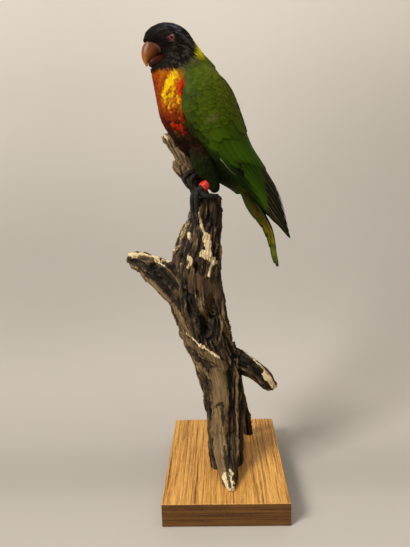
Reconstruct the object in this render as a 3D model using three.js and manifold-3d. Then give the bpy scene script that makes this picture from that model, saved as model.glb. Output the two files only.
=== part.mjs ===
// Rainbow lorikeet, mounted on a piece of driftwood over an oak board, at life size.
// Millimetres, +Z up. The origin is the centre of the board's underside, and the
// board's front edge faces -Y.

import * as THREE from 'three';
import Module from 'manifold-3d';
import { mergeVertices } from 'three/addons/utils/BufferGeometryUtils.js';

const wasm = await Module();
wasm.setup();

// Driving dimensions
const touchGap = 0.3;
const board = { width: 126, depth: 175, thick: 25, ease: 0.8 };
const bird = { x: -15.7, y: -10, z: 318.3, turn: 22, lean: 66 };

const degrees = Math.PI / 180;

// Solids and surfaces

function toSolid(geometry) {
  const bare = geometry.clone();
  bare.deleteAttribute('normal');
  bare.deleteAttribute('uv');
  const merged = mergeVertices(bare, 1e-4);
  return new wasm.Manifold(new wasm.Mesh({
    numProp: 3,
    vertProperties: new Float32Array(merged.attributes.position.array),
    triVerts: new Uint32Array(merged.index.array),
  }));
}

function toGeometry(solid) {
  const mesh = solid.getMesh();
  const geometry = new THREE.BufferGeometry();
  geometry.setAttribute('position', new THREE.BufferAttribute(mesh.vertProperties, 3));
  geometry.setIndex(new THREE.BufferAttribute(mesh.triVerts, 1));
  geometry.computeVertexNormals();
  return geometry;
}

function largest(solid) {
  const bodies = solid.decompose();
  return bodies.reduce((best, body) => (body.volume() > best.volume() ? body : best));
}

// Closes a row of rings, each a loop of points, into one skin with a fan over each end.
function skinOver(rings) {
  const sides = rings[0].length;
  const middle = (ring) => ring.reduce((sum, p) => sum.add(p), new THREE.Vector3())
    .divideScalar(ring.length);
  const points = [...rings.flat(), middle(rings[0]), middle(rings.at(-1))];
  const first = points.length - 2;
  const last = points.length - 1;
  const index = [];
  for (let r = 0; r + 1 < rings.length; r += 1) {
    for (let k = 0; k < sides; k += 1) {
      const a = r * sides + k;
      const b = r * sides + (k + 1) % sides;
      index.push(a, b, b + sides, a, b + sides, a + sides);
    }
  }
  const top = (rings.length - 1) * sides;
  for (let k = 0; k < sides; k += 1) {
    const next = (k + 1) % sides;
    index.push(first, next, k, last, top + k, top + next);
  }
  const geometry = new THREE.BufferGeometry().setFromPoints(points);
  geometry.setIndex(index);
  const solid = toSolid(geometry);
  if (solid.volume() > 0) return solid;
  geometry.setIndex(index.flatMap((v, i) => (i % 3 ? [] : [v, index[i + 2], index[i + 1]])));
  return toSolid(geometry);
}

function join(solids) {
  return solids.reduce((sum, solid) => sum.add(solid));
}

// A smooth value along a list of stations, each { at, ...named values }.
function smoothly(stations, name, at) {
  const last = stations.length - 1;
  const rising = stations[last].at > stations[0].at;
  const past = (k) => (rising ? stations[k].at >= at : stations[k].at <= at);
  let k = 1;
  while (k < last && !past(k)) k += 1;
  const [p, q] = [stations[k - 1], stations[k]];
  const span = q.at - p.at;
  const u = THREE.MathUtils.clamp((at - p.at) / span, 0, 1);
  const before = stations[Math.max(k - 2, 0)];
  const after = stations[Math.min(k + 1, last)];
  const slopeIn = k > 1 ? (q[name] - before[name]) / (q.at - before.at) * span : q[name] - p[name];
  const slopeOut = k < last ? (after[name] - p[name]) / (after.at - p.at) * span : q[name] - p[name];
  const u2 = u * u;
  const u3 = u2 * u;
  return (2 * u3 - 3 * u2 + 1) * p[name] + (u3 - 2 * u2 + u) * slopeIn
    + (3 * u2 - 2 * u3) * q[name] + (u3 - u2) * slopeOut;
}

// A limb of wood, toe or claw: a tube along a smooth path with a width and a depth at
// each of its stations, and a surface that may be ribbed along its length.
function limb({ path, wide, deep = wide, sides, steps, ribs = () => 0, grow = 0, side = null }) {
  const points = path.map((p) => new THREE.Vector3(...p));
  const curve = new THREE.CatmullRomCurve3(points, false, 'centripetal');
  const stations = path.map((_, k) => ({ at: k / (path.length - 1), wide: wide[k], deep: deep[k] }));
  const across = side ?? new THREE.Vector3(1, 0, 0);
  const rings = [];
  for (let s = 0; s <= steps; s += 1) {
    const u = s / steps;
    const centre = curve.getPoint(u);
    const along = curve.getTangent(u);
    const right = across.clone().addScaledVector(along, -across.dot(along)).normalize();
    const out = new THREE.Vector3().crossVectors(along, right);
    const ring = [];
    for (let k = 0; k < sides; k += 1) {
      const turn = 2 * Math.PI * k / sides;
      const rib = 1 + ribs(turn, u);
      const w = smoothly(stations, 'wide', u) * rib + grow;
      const d = smoothly(stations, 'deep', u) * rib + grow;
      ring.push(centre.clone().addScaledVector(right, w * Math.cos(turn))
        .addScaledVector(out, d * Math.sin(turn)));
    }
    rings.push(ring);
  }
  return skinOver(rings);
}

// Oak board, with its edges eased

function boardSolid() {
  const { width, depth, thick, ease } = board;
  const outline = new THREE.Shape();
  outline.moveTo(-width / 2 + ease, -depth / 2 + ease);
  outline.lineTo(width / 2 - ease, -depth / 2 + ease);
  outline.lineTo(width / 2 - ease, depth / 2 - ease);
  outline.lineTo(-width / 2 + ease, depth / 2 - ease);
  outline.closePath();
  const slab = new THREE.ExtrudeGeometry(outline, {
    depth: thick - 2 * ease, bevelEnabled: true, bevelThickness: ease, bevelSize: ease, bevelSegments: 1,
  });
  return toSolid(slab.translate(0, 0, ease));
}

// Driftwood: a leaning trunk with a branch, a broken stub, a spur beside the perch with
// a collar of broken wood round it, a root behind and a toe in front

const woodFoot = board.thick + touchGap;

function barkRibs(count, depth, twist, phase) {
  return (turn, u) => depth * Math.cos(count * turn + twist * u + phase)
    + 0.5 * depth * Math.cos((count + 3) * turn - 1.7 * twist * u + 2 * phase)
    + 0.4 * depth * Math.sin(2 * turn + 9 * u + phase);
}

const woodLimbs = {
  trunk: {
    sides: 19, steps: 23, ribs: barkRibs(5, 0.05, 3.4, 0.4),
    path: [[1, -15, 18], [1.3, -14, 70], [0, -13, 98], [-2.5, -11, 122], [-8, -11, 146],
      [-15, -11, 170], [-19, -12, 190], [-24, -12, 211], [-25, -12, 233], [-23, -12, 254],
      [-19.5, -11, 272], [-14.5, -10, 291], [-12, -10, 306], [-11.5, -10, 316.5]],
    wide: [18, 19.3, 21.3, 22, 22.5, 25.5, 27, 29, 27, 25.5, 22, 17.8, 16, 14.5],
    deep: [19, 20, 20, 20, 21, 22, 23, 23, 22, 21, 19, 17, 16, 15],
  },
  branch: {
    sides: 13, steps: 9, ribs: barkRibs(3, 0.07, 2.6, 1.1), side: [0, 0, 1],
    path: [[-26, -12, 210], [-46, -13, 226], [-62, -13, 241], [-77, -13, 251.3], [-88, -12, 256],
      [-95, -12, 258.6]],
    wide: [20, 18.5, 16.5, 10.5, 8, 4.2],
    deep: [16, 15, 13, 10, 8, 4],
  },
  stub: {
    sides: 11, steps: 7, ribs: barkRibs(3, 0.06, 2, 2.3), side: [0, 0, 1],
    path: [[4, -9, 146], [19, -7, 139], [31, -6, 132], [43, -5, 121.5], [53, -5, 111.5], [57, -5, 107.5]],
    wide: [15, 12.5, 10.5, 9.5, 8, 4],
    deep: [14, 12, 10, 9, 7.5, 4],
  },
  spur: {
    sides: 10, steps: 8, ribs: barkRibs(3, 0.07, 2.2, 0.2),
    path: [[-13, -4, 304], [-20, -2, 322], [-27, -1, 338], [-34, -1, 353], [-41.4, -1, 365],
      [-49, -2, 375], [-53.3, -2, 380.5]],
    wide: [9, 8.5, 8, 8.6, 6.6, 5.6, 3.4],
    deep: [9, 8, 7.5, 7, 6, 5, 3],
  },
  spurCollar: {
    sides: 8, steps: 4, ribs: barkRibs(3, 0.06, 2.4, 1.2),
    path: [[-25, -3, 330], [-32.5, -3, 342], [-38.5, -3, 351], [-41, -3, 355.5]],
    wide: [7.5, 8.6, 7.6, 5],
    deep: [6, 7, 6.4, 4.4],
  },
  toe: {
    sides: 11, steps: 7, ribs: barkRibs(3, 0.05, 1.5, 0.9),
    path: [[1, -18, 70], [1.5, -31, 48], [3.5, -47, 32], [5, -60, 27], [6, -69, 25.5]],
    wide: [14, 14, 10.5, 6.4, 3.2],
    deep: [12, 12, 10, 7, 3.4],
  },
  root: {
    sides: 9, steps: 7, ribs: barkRibs(3, 0.05, 1.5, 1.7),
    path: [[6, -2, 156], [12, 12, 128], [18, 27, 98], [25, 41, 62], [31, 51, 18]],
    wide: [10, 8, 5.5, 5, 6.5],
    deep: [10, 8, 6, 5.5, 6.5],
  },
};

const woodHollow = { x: -12, y: -38, z: 203, wide: 8, deep: 15, tall: 27, lean: 14 };

function driftwoodSolid(grow = 0) {
  const limbs = Object.values(woodLimbs).map(({ side, ...rest }) => limb({
    ...rest, grow, side: side ? new THREE.Vector3(...side) : null,
  }));
  const { x, y, z, wide, deep, tall, lean } = woodHollow;
  const hollow = new THREE.SphereGeometry(1, 14, 10);
  hollow.scale(wide - grow, deep - grow, tall - grow).rotateY(lean * degrees).translate(x, y, z);
  const whole = join(limbs).subtract(toSolid(hollow));
  return largest(whole.trimByPlane([0, 0, 1], woodFoot - grow));
}

// Bird frame: origin between the feet, +X towards the bill, +Y to its left, +Z up.
// Along its leaning body, places are given by how far along the spine (up towards the
// head), how far out in front of it (minus is behind) and how far to the left.

const spine = new THREE.Vector3(Math.cos(bird.lean * degrees), 0, Math.sin(bird.lean * degrees));
const chest = new THREE.Vector3(spine.z, 0, -spine.x);

function onBody(along, out, left) {
  return new THREE.Vector3(0, left, 0).addScaledVector(spine, along).addScaledVector(chest, out);
}

// The same place as seen from the bird's side, as [forward, up]
function sideOf(along, out) {
  const place = onBody(along, out, 0);
  return [place.x, place.z];
}

// Flesh and coat in one skin: each page is a slice from its front edge to its back edge.
const bodyPages = [
  { at: -22, front: -37.5, back: -58, half: 11.3 },
  { at: -10, front: -32, back: -60, half: 14.5 },
  { at: 5, front: -21, back: -61, half: 20 },
  { at: 24, front: -11, back: -62, half: 25 },
  { at: 43, front: -4, back: -64, half: 28.5 },
  { at: 65, front: 4, back: -66, half: 31 },
  { at: 84, front: 6.5, back: -66.5, half: 31 },
  { at: 105, front: 1.5, back: -63.5, half: 28 },
].map(({ at, front, back, half }) => ({ at, half, front: sideOf(at, front), back: sideOf(at, back) }));

const headPages = [
  { at: 118, front: [47, 109.5], back: [-16, 124.5], half: 23 },
  { at: 130, front: [48.5, 116.5], back: [-3, 137], half: 19.5 },
  { at: 140, front: [48, 120.5], back: [5, 147], half: 18 },
  { at: 150, front: [41.5, 124.5], back: [12, 155.3], half: 17.6 },
  { at: 160, front: [37.5, 128.5], back: [21.5, 160.3], half: 17.4 },
  { at: 170, front: [38, 132.5], back: [34, 161.6], half: 16.4 },
  { at: 180, front: [41, 136], back: [45.6, 157.6], half: 13.6 },
  { at: 188, front: [45.8, 139.5], back: [53, 151], half: 9.4 },
  { at: 192, front: [50, 141.6], back: [54.8, 145.8], half: 5.5 },
];

const fleshPages = [...bodyPages, ...headPages].map((page) => ({
  at: page.at, half: page.half,
  frontX: page.front[0], frontZ: page.front[1], backX: page.back[0], backZ: page.back[1],
}));

function fleshRing(at, sides, grow = 0) {
  const value = (name) => smoothly(fleshPages, name, at);
  const front = new THREE.Vector3(value('frontX'), 0, value('frontZ'));
  const back = new THREE.Vector3(value('backX'), 0, value('backZ'));
  const centre = front.clone().add(back).multiplyScalar(0.5);
  const forward = front.clone().sub(back).multiplyScalar(0.5);
  const reach = forward.length();
  forward.divideScalar(reach);
  const ring = [];
  for (let k = 0; k < sides; k += 1) {
    const turn = 2 * Math.PI * k / sides;
    ring.push(centre.clone()
      .addScaledVector(forward, (reach + grow) * Math.cos(turn))
      .add(new THREE.Vector3(0, (value('half') + grow) * Math.sin(turn), 0)));
  }
  return ring;
}

function fleshSolid(from, to, steps, sides, grow = 0) {
  const rings = [];
  for (let s = 0; s <= steps; s += 1) {
    rings.push(fleshRing(from + (to - from) * s / steps, sides, grow));
  }
  return skinOver(rings);
}

// The body ends in a flat cut across the spine, where the tail begins.
const rumpEnd = -16;

function aboveRump(solid) {
  return solid.trimByPlane(spine.toArray(), rumpEnd + touchGap / 2);
}

// The hood's lower edge and its back edge over the nape, seen from the bird's left side
const hoodOutline = [[70, 116], [26, 116.5], [13, 124.5], [5.5, 134], [8.2, 151], [12, 176], [80, 176]];
const collarOutline = [[27, 116.3], [-26, 121], [-26, 180], [64, 180]];
const mantleOutline = [[-4, 150], [-12, 104], [-40, 40], [-110, 40], [-110, 150]];
const bellyOutline = [[80, 76], [18, 52], [-4, 22], [-110, 22], [-110, -20], [80, -20]];

// A block as wide as the bird, seen from its left side as the outline, moved by a gap.
function blockOf(outline, [dx, dz] = [0, 0]) {
  const shape = new THREE.Shape(outline.map(([x, z]) => new THREE.Vector2(x + dx, z + dz)));
  const block = new THREE.ExtrudeGeometry(shape, { depth: 90, bevelEnabled: false });
  return toSolid(block.rotateX(90 * degrees).translate(0, 45, 0));
}

// Bill: two mandibles, each a row of slices from its ridge to its cutting edge

const upperBill = [
  { at: 0, frontX: 38, frontZ: 146.5, backX: 30, backZ: 135, half: 7.6 },
  { at: 1, frontX: 46.5, frontZ: 146.3, backX: 36.5, backZ: 134.5, half: 7.6 },
  { at: 2, frontX: 53.2, frontZ: 143.3, backX: 42.3, backZ: 130.8, half: 7 },
  { at: 3, frontX: 56, frontZ: 138.5, backX: 46.6, backZ: 128.2, half: 6.1 },
  { at: 4, frontX: 56.9, frontZ: 133, backX: 49.6, backZ: 126.4, half: 4.9 },
  { at: 5, frontX: 55.8, frontZ: 127, backX: 51, backZ: 124.3, half: 3.1 },
  { at: 6, frontX: 52.8, frontZ: 121.6, backX: 51, backZ: 122.2, half: 0.9 },
];
const lowerBill = [
  { at: 0, frontX: 30, frontZ: 119, backX: 30, backZ: 135, half: 6.6 },
  { at: 1, frontX: 38, frontZ: 120, backX: 38, backZ: 135, half: 6.5 },
  { at: 2, frontX: 44.5, frontZ: 120.4, backX: 43.5, backZ: 133, half: 5.8 },
  { at: 3, frontX: 48.6, frontZ: 121.2, backX: 47.5, backZ: 130.5, half: 4.6 },
  { at: 4, frontX: 50.3, frontZ: 122.6, backX: 49.9, backZ: 128, half: 3 },
];
const nostril = { forward: 51.5, up: 142.8, side: 4.4, radius: 0.9 };

function billSolid(stations, steps, grow = 0) {
  const rings = [];
  for (let s = 0; s <= steps; s += 1) {
    const at = stations.at(-1).at * s / steps;
    const value = (name) => smoothly(stations, name, at);
    const front = new THREE.Vector3(value('frontX'), 0, value('frontZ'));
    const back = new THREE.Vector3(value('backX'), 0, value('backZ'));
    const reach = front.distanceTo(back) / 2;
    const forward = front.clone().sub(back).normalize();
    const centre = front.clone().add(back).multiplyScalar(0.5);
    const sides = 12;
    const ring = [];
    for (let k = 0; k < sides; k += 1) {
      const turn = 2 * Math.PI * k / sides;
      ring.push(centre.clone().addScaledVector(forward, (reach + grow) * Math.cos(turn))
        .add(new THREE.Vector3(0, (value('half') + grow) * Math.sin(turn), 0)));
    }
    rings.push(ring);
  }
  return skinOver(rings);
}

function ball(radius, x, y, z, detail = 16) {
  return toSolid(new THREE.SphereGeometry(radius, detail, Math.round(detail * 0.7)).translate(x, y, z));
}

function nostrils() {
  const { forward, up, side, radius } = nostril;
  return join([side, -side].map((y) => ball(radius, forward, y, up, 8)));
}

// Eyes: a ball in a socket, with a raised rim of lid round it

const eye = { forward: 31.6, side: 13.3, up: 144.2, radius: 4.6 };
const lid = { ring: 3.9, thick: 0.85, stand: 2.9 };

function lidSolid(side) {
  const ring = new THREE.TorusGeometry(lid.ring, lid.thick, 6, 16).rotateX(90 * degrees);
  return toSolid(ring.translate(eye.forward, side * (eye.side + lid.stand), eye.up));
}

// Wing envelope: the surface that the closed wings follow, from the bend of the wing
// past the rump to the wing tips. Angles run from the middle of the back round the side.

const envelope = [
  { at: 125, mid: -30, deep: 27, half: 22.5 },
  { at: 105, mid: -31, deep: 32.5, half: 28.3 },
  { at: 84, mid: -30, deep: 36.8, half: 31.3 },
  { at: 65, mid: -31, deep: 35.3, half: 31.3 },
  { at: 43, mid: -34, deep: 31, half: 29 },
  { at: 24, mid: -38, deep: 27.5, half: 26 },
  { at: 5, mid: -45, deep: 25, half: 22 },
  { at: -10, mid: -51, deep: 22.5, half: 19 },
  { at: -30, mid: -57, deep: 19.5, half: 16 },
  { at: -50, mid: -61, deep: 15.5, half: 13 },
  { at: -70, mid: -66, deep: 9, half: 8.5 },
  { at: -90, mid: -69, deep: 4, half: 5 },
];

function onWing(along, angle, height, side) {
  const value = (name) => smoothly(envelope, name, along);
  const turn = angle * degrees;
  return onBody(along, value('mid') - (value('deep') + height) * Math.cos(turn),
    side * (value('half') + height) * Math.sin(turn));
}

// The bed that a closed wing lies in, from its lower edge to its upper edge over the back
const wingOutline = [
  { at: 112, low: 106, high: 58, base: -0.4 },
  { at: 104, low: 114, high: 44, base: -1.8 },
  { at: 90, low: 122, high: 30, base: -2.6 },
  { at: 65, low: 133, high: 18, base: -2.6 },
  { at: 45, low: 130, high: 8, base: -1.9 },
  { at: 24, low: 129, high: 2, base: -0.6 },
  { at: -4, low: 130, high: 0, base: 0 },
  { at: -26, low: 122, high: 0, base: 0 },
  { at: -50, low: 112, high: 0, base: 0 },
  { at: -70, low: 108, high: 0, base: 0 },
  { at: -89, low: 106, high: 0, base: 0 },
];
const wingTop = 13;

function wingBed(side, inset) {
  const rings = [];
  const across = 10;
  for (let s = 0; s <= 22; s += 1) {
    const along = wingOutline[0].at + (wingOutline.at(-1).at - wingOutline[0].at) * s / 22;
    const value = (name) => smoothly(wingOutline, name, along);
    const turn = inset / 20 / degrees;
    const base = value('base') + inset;
    const ring = [];
    for (let k = 0; k <= across; k += 1) {
      const angle = value('low') - turn + (value('high') - value('low') + turn) * k / across;
      ring.push(onWing(along, angle, base, side));
    }
    for (let k = across; k >= 0; k -= 1) {
      const angle = value('low') - turn + (value('high') - value('low') + turn) * k / across;
      ring.push(onWing(along, angle, wingTop, side));
    }
    rings.push(ring);
  }
  return skinOver(rings);
}

// Feathers

const vaneThick = 0.55;
const vaneGap = 0.35;
const webThick = 0.6;
const bedRoom = 0.95;

// One feather: a thin plate through a row of frames, each a centre with its directions
// across and outwards and half a width. It thins at its tip.
function vane(frames) {
  const rings = frames.map(({ centre, across, outward, half }, k) => {
    const thick = k + 1 < frames.length ? vaneThick / 2 : vaneThick / 4;
    return [[1, 1], [-1, 1], [-1, -1], [1, -1]].map(([x, z]) => centre.clone()
      .addScaledVector(across, half * x).addScaledVector(outward, thick * z));
  });
  return skinOver(rings);
}

// Wing feathers: primaries, secondaries, then the primary, greater and median coverts.
// Angles are those of the first feather, at the wing's lower
// edge, and of the last; grid is the row of places along the wing that they share.
const featherGroups = [
  { count: 7, root: 53, rootAngles: [115, 42], lift: 0.1, half: 3.3, bulge: 9,
    tips: [-78, -85, -84, -74, -63, -51, -40], tipAngles: [100, 91, 80, 66, 52, 38, 24],
    grid: [40, 18, -5, -30, -55] },
  { count: 7, root: 54, rootAngles: [107, 20], lift: 2.4, half: 5.6, bulge: 0,
    tips: [24, 18, 12, 5, -2, -6, -4], tipAngles: [103, 89, 75, 61, 47, 33, 17], grid: [28, 10] },
  { count: 3, root: 66, rootAngles: [119, 99], lift: 2.6, half: 4.8, bulge: 0,
    tips: [31, 34, 38], tipAngles: [116, 110, 103], grid: [48] },
  { count: 6, root: 72, rootAngles: [118, 25], lift: 4.5, half: 6.3, bulge: 0,
    tips: [46, 44, 42, 40, 41, 43], tipAngles: [115, 97, 78, 59, 40, 20], grid: [56] },
  { count: 6, root: 88, rootAngles: [115, 35], lift: 6.3, half: 6.3, bulge: 0,
    tips: [66, 64, 62, 62, 63, 65], tipAngles: [121, 103, 85, 66, 47, 29], grid: [75] },
];

// The right wing is folded a little shorter and higher than the left one.
const rightFold = { shorter: 0.2, raise: 18 };

function foldOf(group, side) {
  if (side > 0) return group;
  const raise = rightFold.raise * Math.min(1, group.count / 7) / 90;
  const tipAngles = group.tipAngles.map((angle) => angle - raise * angle);
  const tips = group.tips.map((tip) => tip + rightFold.shorter * Math.max(0, 20 - tip));
  return { ...group, tips, tipAngles };
}

function featherAngle(group, k, along) {
  const share = k / (group.count - 1);
  const root = group.rootAngles[0] + (group.rootAngles[1] - group.rootAngles[0]) * share;
  const u = THREE.MathUtils.clamp((group.root - along) / (group.root - group.tips[k]), 0, 1);
  return root + (group.tipAngles[k] - root) * u + group.bulge * (1 - share) * Math.sin(Math.PI * u);
}

// How far the feathers of a group lean, so that each clears the next one it overlaps.
function featherLean(group, along, radius) {
  const angles = group.tips.map((tip, k) => ({ tip, angle: featherAngle(group, k, along) }))
    .filter(({ tip }) => tip <= along + 4).map(({ angle }) => angle);
  if (angles.length < 2) return 0.3;
  const steps = angles.slice(1).map((angle, k) => Math.abs(angles[k] - angle) * degrees * radius);
  const pitch = Math.min(...steps);
  const bow = Math.max(0, pitch * (2 * group.half - pitch) / (2 * radius));
  return Math.min(0.55, (vaneThick + vaneGap + bow) / pitch);
}

function wingFeather(group, k, side) {
  const { root, grid, half } = group;
  const tip = group.tips[k];
  const span = root - tip;
  const ends = (span > 60 ? [0.13, 0.04, 0] : [0.13, 0]).map((share) => tip + share * span);
  const places = [root, ...grid.filter((at) => at > tip + 0.22 * span), ...ends];
  return vane(places.map((along) => {
    const u = (root - along) / span;
    const angle = featherAngle(group, k, along);
    const radius = (smoothly(envelope, 'deep', along) + smoothly(envelope, 'half', along)) / 2;
    const lean = featherLean(group, along, radius);
    const base = smoothly(wingOutline, 'base', along);
    const height = base + group.lift + lean * half + vaneThick / 2 + bedRoom;
    const centre = onWing(along, angle, height, side);
    const across = onWing(along, angle + 2, height, side)
      .sub(onWing(along, angle - 2, height, side)).normalize();
    const outward = onWing(along, angle, height + 1, side).sub(centre);
    outward.addScaledVector(across, -outward.dot(across)).normalize();
    const turn = Math.atan(lean);
    const flat = across.clone().multiplyScalar(Math.cos(turn)).addScaledVector(outward, Math.sin(turn));
    outward.addScaledVector(flat, -outward.dot(flat)).normalize();
    const taper = Math.min(1, 0.86 + u * 0.5) * (u > 0.99 ? 0.2 : Math.min(1, 0.62 + (1 - u) * 2.7));
    return { centre, across: flat, outward, half: half * taper };
  }));
}

// The fleshy forearm with its small feathers, which the others' roots are sunk in
const forearm = [
  { at: 111, top: 0.6 }, { at: 103, top: 3.2 }, { at: 94, top: 4.6 }, { at: 86, top: 4.8 },
  { at: 80, top: 3.8 }, { at: 72, top: 3.2 }, { at: 66, top: 1.6 }, { at: 56, top: 1.1 },
  { at: 50, top: 0.3 }, { at: 44, top: -1.2 },
];

function forearmSolid(side) {
  const across = 7;
  const rings = forearm.map(({ at, top }) => {
    const base = smoothly(wingOutline, 'base', at) + 0.1;
    const from = smoothly(wingOutline, 'low', at) - 1;
    const to = smoothly(wingOutline, 'high', at) + 1;
    const ring = [];
    for (let k = 0; k <= across; k += 1) {
      ring.push(onWing(at, from + (to - from) * k / across, base, side));
    }
    for (let k = across; k >= 0; k -= 1) {
      const edge = Math.min(1, 0.35 + k / 2, 0.25 + (across - k) / 2);
      ring.push(onWing(at, from + (to - from) * k / across, base + (top - base) * edge, side));
    }
    return ring;
  });
  return skinOver(rings);
}

// The inner webs under the long feathers, one thin sheet that closes the wing from below
function innerWebs(side, fold) {
  const rings = [50, 36, 14, -8, -30, -52, fold * -72].map((at) => {
    const base = smoothly(wingOutline, 'base', at) + touchGap;
    const from = smoothly(wingOutline, 'low', at) - 11 - (side < 0 ? 12 + Math.max(0, -at) * 0.4 : 0);
    const to = 4 + Math.max(0, -at - 8) * 0.9;
    const inner = [];
    const outer = [];
    for (let k = 0; k <= 5; k += 1) {
      const angle = from + (to - from) * k / 5;
      inner.push(onWing(at, angle, base, side));
      outer.unshift(onWing(at, angle, base + webThick, side));
    }
    return [...inner, ...outer];
  });
  return skinOver(rings);
}

function wingSolid(side) {
  const groups = featherGroups.map((group) => foldOf(group, side));
  const feathers = groups.flatMap((group) => group.tips.map((_, k) => wingFeather(group, k, side)));
  const whole = join([forearmSolid(side), innerWebs(side, side < 0 ? 0.8 : 1), ...feathers]);
  const inBed = whole.intersect(wingBed(side, touchGap));
  return largest(inBed.trimByPlane([0, side, 0], touchGap / 2));
}

// Tail: a core under the rump, twelve graduated feathers in an arched roof, the middle
// pair uppermost, and coverts over and under their roots

const tail = { root: -20, from: -16.3, core: -34, halfWidth: 2.9, pitch: 2.35 };
const tailRidge = [
  { at: -16, out: -51 }, { at: -30, out: -52.2 }, { at: -48, out: -54.2 }, { at: -65, out: -55.2 },
  { at: -79, out: -52.6 }, { at: -92, out: -48.8 }, { at: -108, out: -45.4 },
];
const tailTips = [-108, -104, -86, -75, -63, -52];

function tailFrame(along, across, drop, tilt, half) {
  const turn = tilt * degrees;
  const out = smoothly(tailRidge, 'out', along);
  return {
    centre: onBody(along, out - drop, across), half,
    across: new THREE.Vector3(0, Math.cos(turn), 0).addScaledVector(chest, Math.sin(turn)),
    outward: new THREE.Vector3(0, -Math.sin(turn), 0).addScaledVector(chest, Math.cos(turn)),
  };
}

function tailFeather(k, side) {
  const tip = tailTips[k];
  const span = tail.root - tip;
  const places = [tail.root, ...[-34, -50, -66, -82].filter((at) => at > tip + 7), tip + 6, tip + 2, tip];
  const sink = k === 0 && side < 0 ? 0.9 : 0;
  return vane(places.map((along) => {
    const u = (tail.root - along) / span;
    const spread = 0.55 + 0.45 * Math.min(1, (tail.root - along) / 20);
    const end = THREE.MathUtils.clamp((along - tip + 1) / 9, 0.18, 1);
    const half = tail.halfWidth * (0.85 + 0.3 * Math.sin(Math.PI * Math.min(u, 0.6))) * Math.sqrt(end);
    const open = THREE.MathUtils.clamp(1 - (tail.root - along) / 60, 0, 1);
    const drop = k ? -0.6 - k * (0.95 + 0.3 * open) : -sink;
    const across = tail.pitch * (k + 0.5) * spread;
    return tailFrame(along, side * across, drop, side * k * (4 + 3 * open), half);
  }));
}

const tailCoverts = [
  { count: 4, tips: [-33, -41, -40, -32], spread: 5.4, drop: 2.6, tilt: 13, half: 3.4 },
  { count: 4, tips: [-38, -47, -46, -39], spread: 4.8, drop: -11.4, tilt: 7, half: 3.1 },
];

function tailCovert({ count, tips, spread, drop, tilt, half }, k) {
  const middle = k - (count - 1) / 2;
  const layer = Math.abs(middle) * 1.3;
  const span = tail.root - tips[k];
  return vane([0, 0.45, 0.8, 1].map((u) => {
    const across = middle * spread * (0.7 + 0.3 * u);
    const depth = drop > 0 ? drop - layer - u * 0.8 : drop + layer + u;
    const width = half * (u > 0.99 ? 0.25 : 1 - 0.35 * u);
    return tailFrame(tail.root - span * u, across, depth, middle * tilt, width);
  }));
}

function tailSolid() {
  const rings = [];
  const profile = [[tail.from, 11.4, 12], [-22, 11, 12], [-28, 8.8, 11], [tail.core, 6, 9]];
  for (const [along, deep, half] of profile) {
    const ring = [];
    for (let k = 0; k < 18; k += 1) {
      const turn = 2 * Math.PI * k / 18;
      const out = smoothly(tailRidge, 'out', along) + 3.5 + deep * Math.cos(turn);
      ring.push(onBody(along, out, half * Math.sin(turn)));
    }
    rings.push(ring);
  }
  const feathers = tailTips.flatMap((_, k) => [tailFeather(k, 1), tailFeather(k, -1)]);
  const coverts = tailCoverts.flatMap((row) => row.tips.map((_, k) => tailCovert(row, k)));
  return largest(join([skinOver(rings), ...feathers, ...coverts]));
}

// Legs. The left foot grips the rim of the trunk's top, and the right one stands higher,
// on the foot of the spur. Each toe is a path from the ball of the foot to its claw.

const thigh = {
  path: [[3, 8, 52], [4, 12, 38], [0.5, 14, 27], [-4.3, 14.2, 17.5], [-7.2, 14.2, 10], [-8.4, 14.2, 4]],
  wide: [12, 14, 12.4, 8.8, 6.2, 3.8], deep: [8, 10, 8.8, 7, 5.2, 3.2],
};
const legs = {
  left: {
    side: 1, shift: [0, 0, 0], ankle: [-3, 14, 14.5], foot: [11.2, 14, 4.6],
    toes: [
      { path: [[10, 15, 4.6], [13.2, 17.6, 2.6], [14, 18, -3], [13.4, 17, -9.5], [13, 16, -15]],
        claw: [[12.8, 15.8, -20], [11.6, 15.2, -25.5]], thick: [3.1, 2.8, 2.4, 2.3, 1.7] },
      { path: [[10, 13, 4.6], [14.4, 13.4, 3.4], [16.2, 13, -2], [15.8, 11.8, -9], [15.4, 11.4, -16]],
        claw: [[15, 11.6, -21.5], [13.4, 12.6, -27.5]], thick: [3.1, 2.7, 2.4, 2.3, 1.7] },
      { path: [[10, 15.4, 4.2], [4.4, 18.6, 1], [-3, 20, 0], [-8.6, 18.8, -0.4]],
        claw: [[-11.6, 18.2, -1.6], [-13.6, 17.6, -4.4]], thick: [3, 2.6, 2.2, 1.6] },
      { path: [[10, 12.6, 4.2], [3.4, 9, 1.2], [-4, 7.5, 0.8], [-10, 7, 0.4]],
        claw: [[-13.4, 6.8, 0.8], [-15.4, 6.8, -2.4]], thick: [2.8, 2.4, 2, 1.5] },
    ],
  },
  right: {
    side: -1, shift: [-7, 0, 13], ankle: [-10, -13, 30], foot: [0.5, -12.5, 23],
    toes: [
      { path: [[0, -12, 23], [7, -4.4, 24], [14, -3, 23], [18.2, -3, 18], [17, -2.8, 12.6]],
        claw: [[14.2, -2.6, 8.6], [10.4, -2.8, 5.8]], thick: [3.2, 3, 2.7, 2.4, 1.8] },
      { path: [[0, -12.5, 23], [4, -3.4, 21.4], [9, 0, 20], [12.2, 0.8, 16.6], [12, 0.6, 13]],
        claw: [[11, 0.4, 10.4], [9.2, 0.2, 8.8]], thick: [3.1, 2.9, 2.5, 2.1, 1.6] },
      { path: [[0.5, -11.5, 22.4], [-3.4, -9.5, 17], [-4.4, -9, 12], [-3.6, -9, 8.4]],
        claw: [[-2.4, -9, 5.4], [0, -9, 3]], thick: [3, 2.5, 2, 1.6] },
      { path: [[0.5, -13.5, 22.4], [-3.4, -16.5, 17.6], [-4.4, -17.5, 12.6], [-3.6, -17.6, 9]],
        claw: [[-2.4, -17.6, 6], [0, -17.6, 3.6]], thick: [2.8, 2.5, 2, 1.5] },
    ],
  },
};
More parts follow.
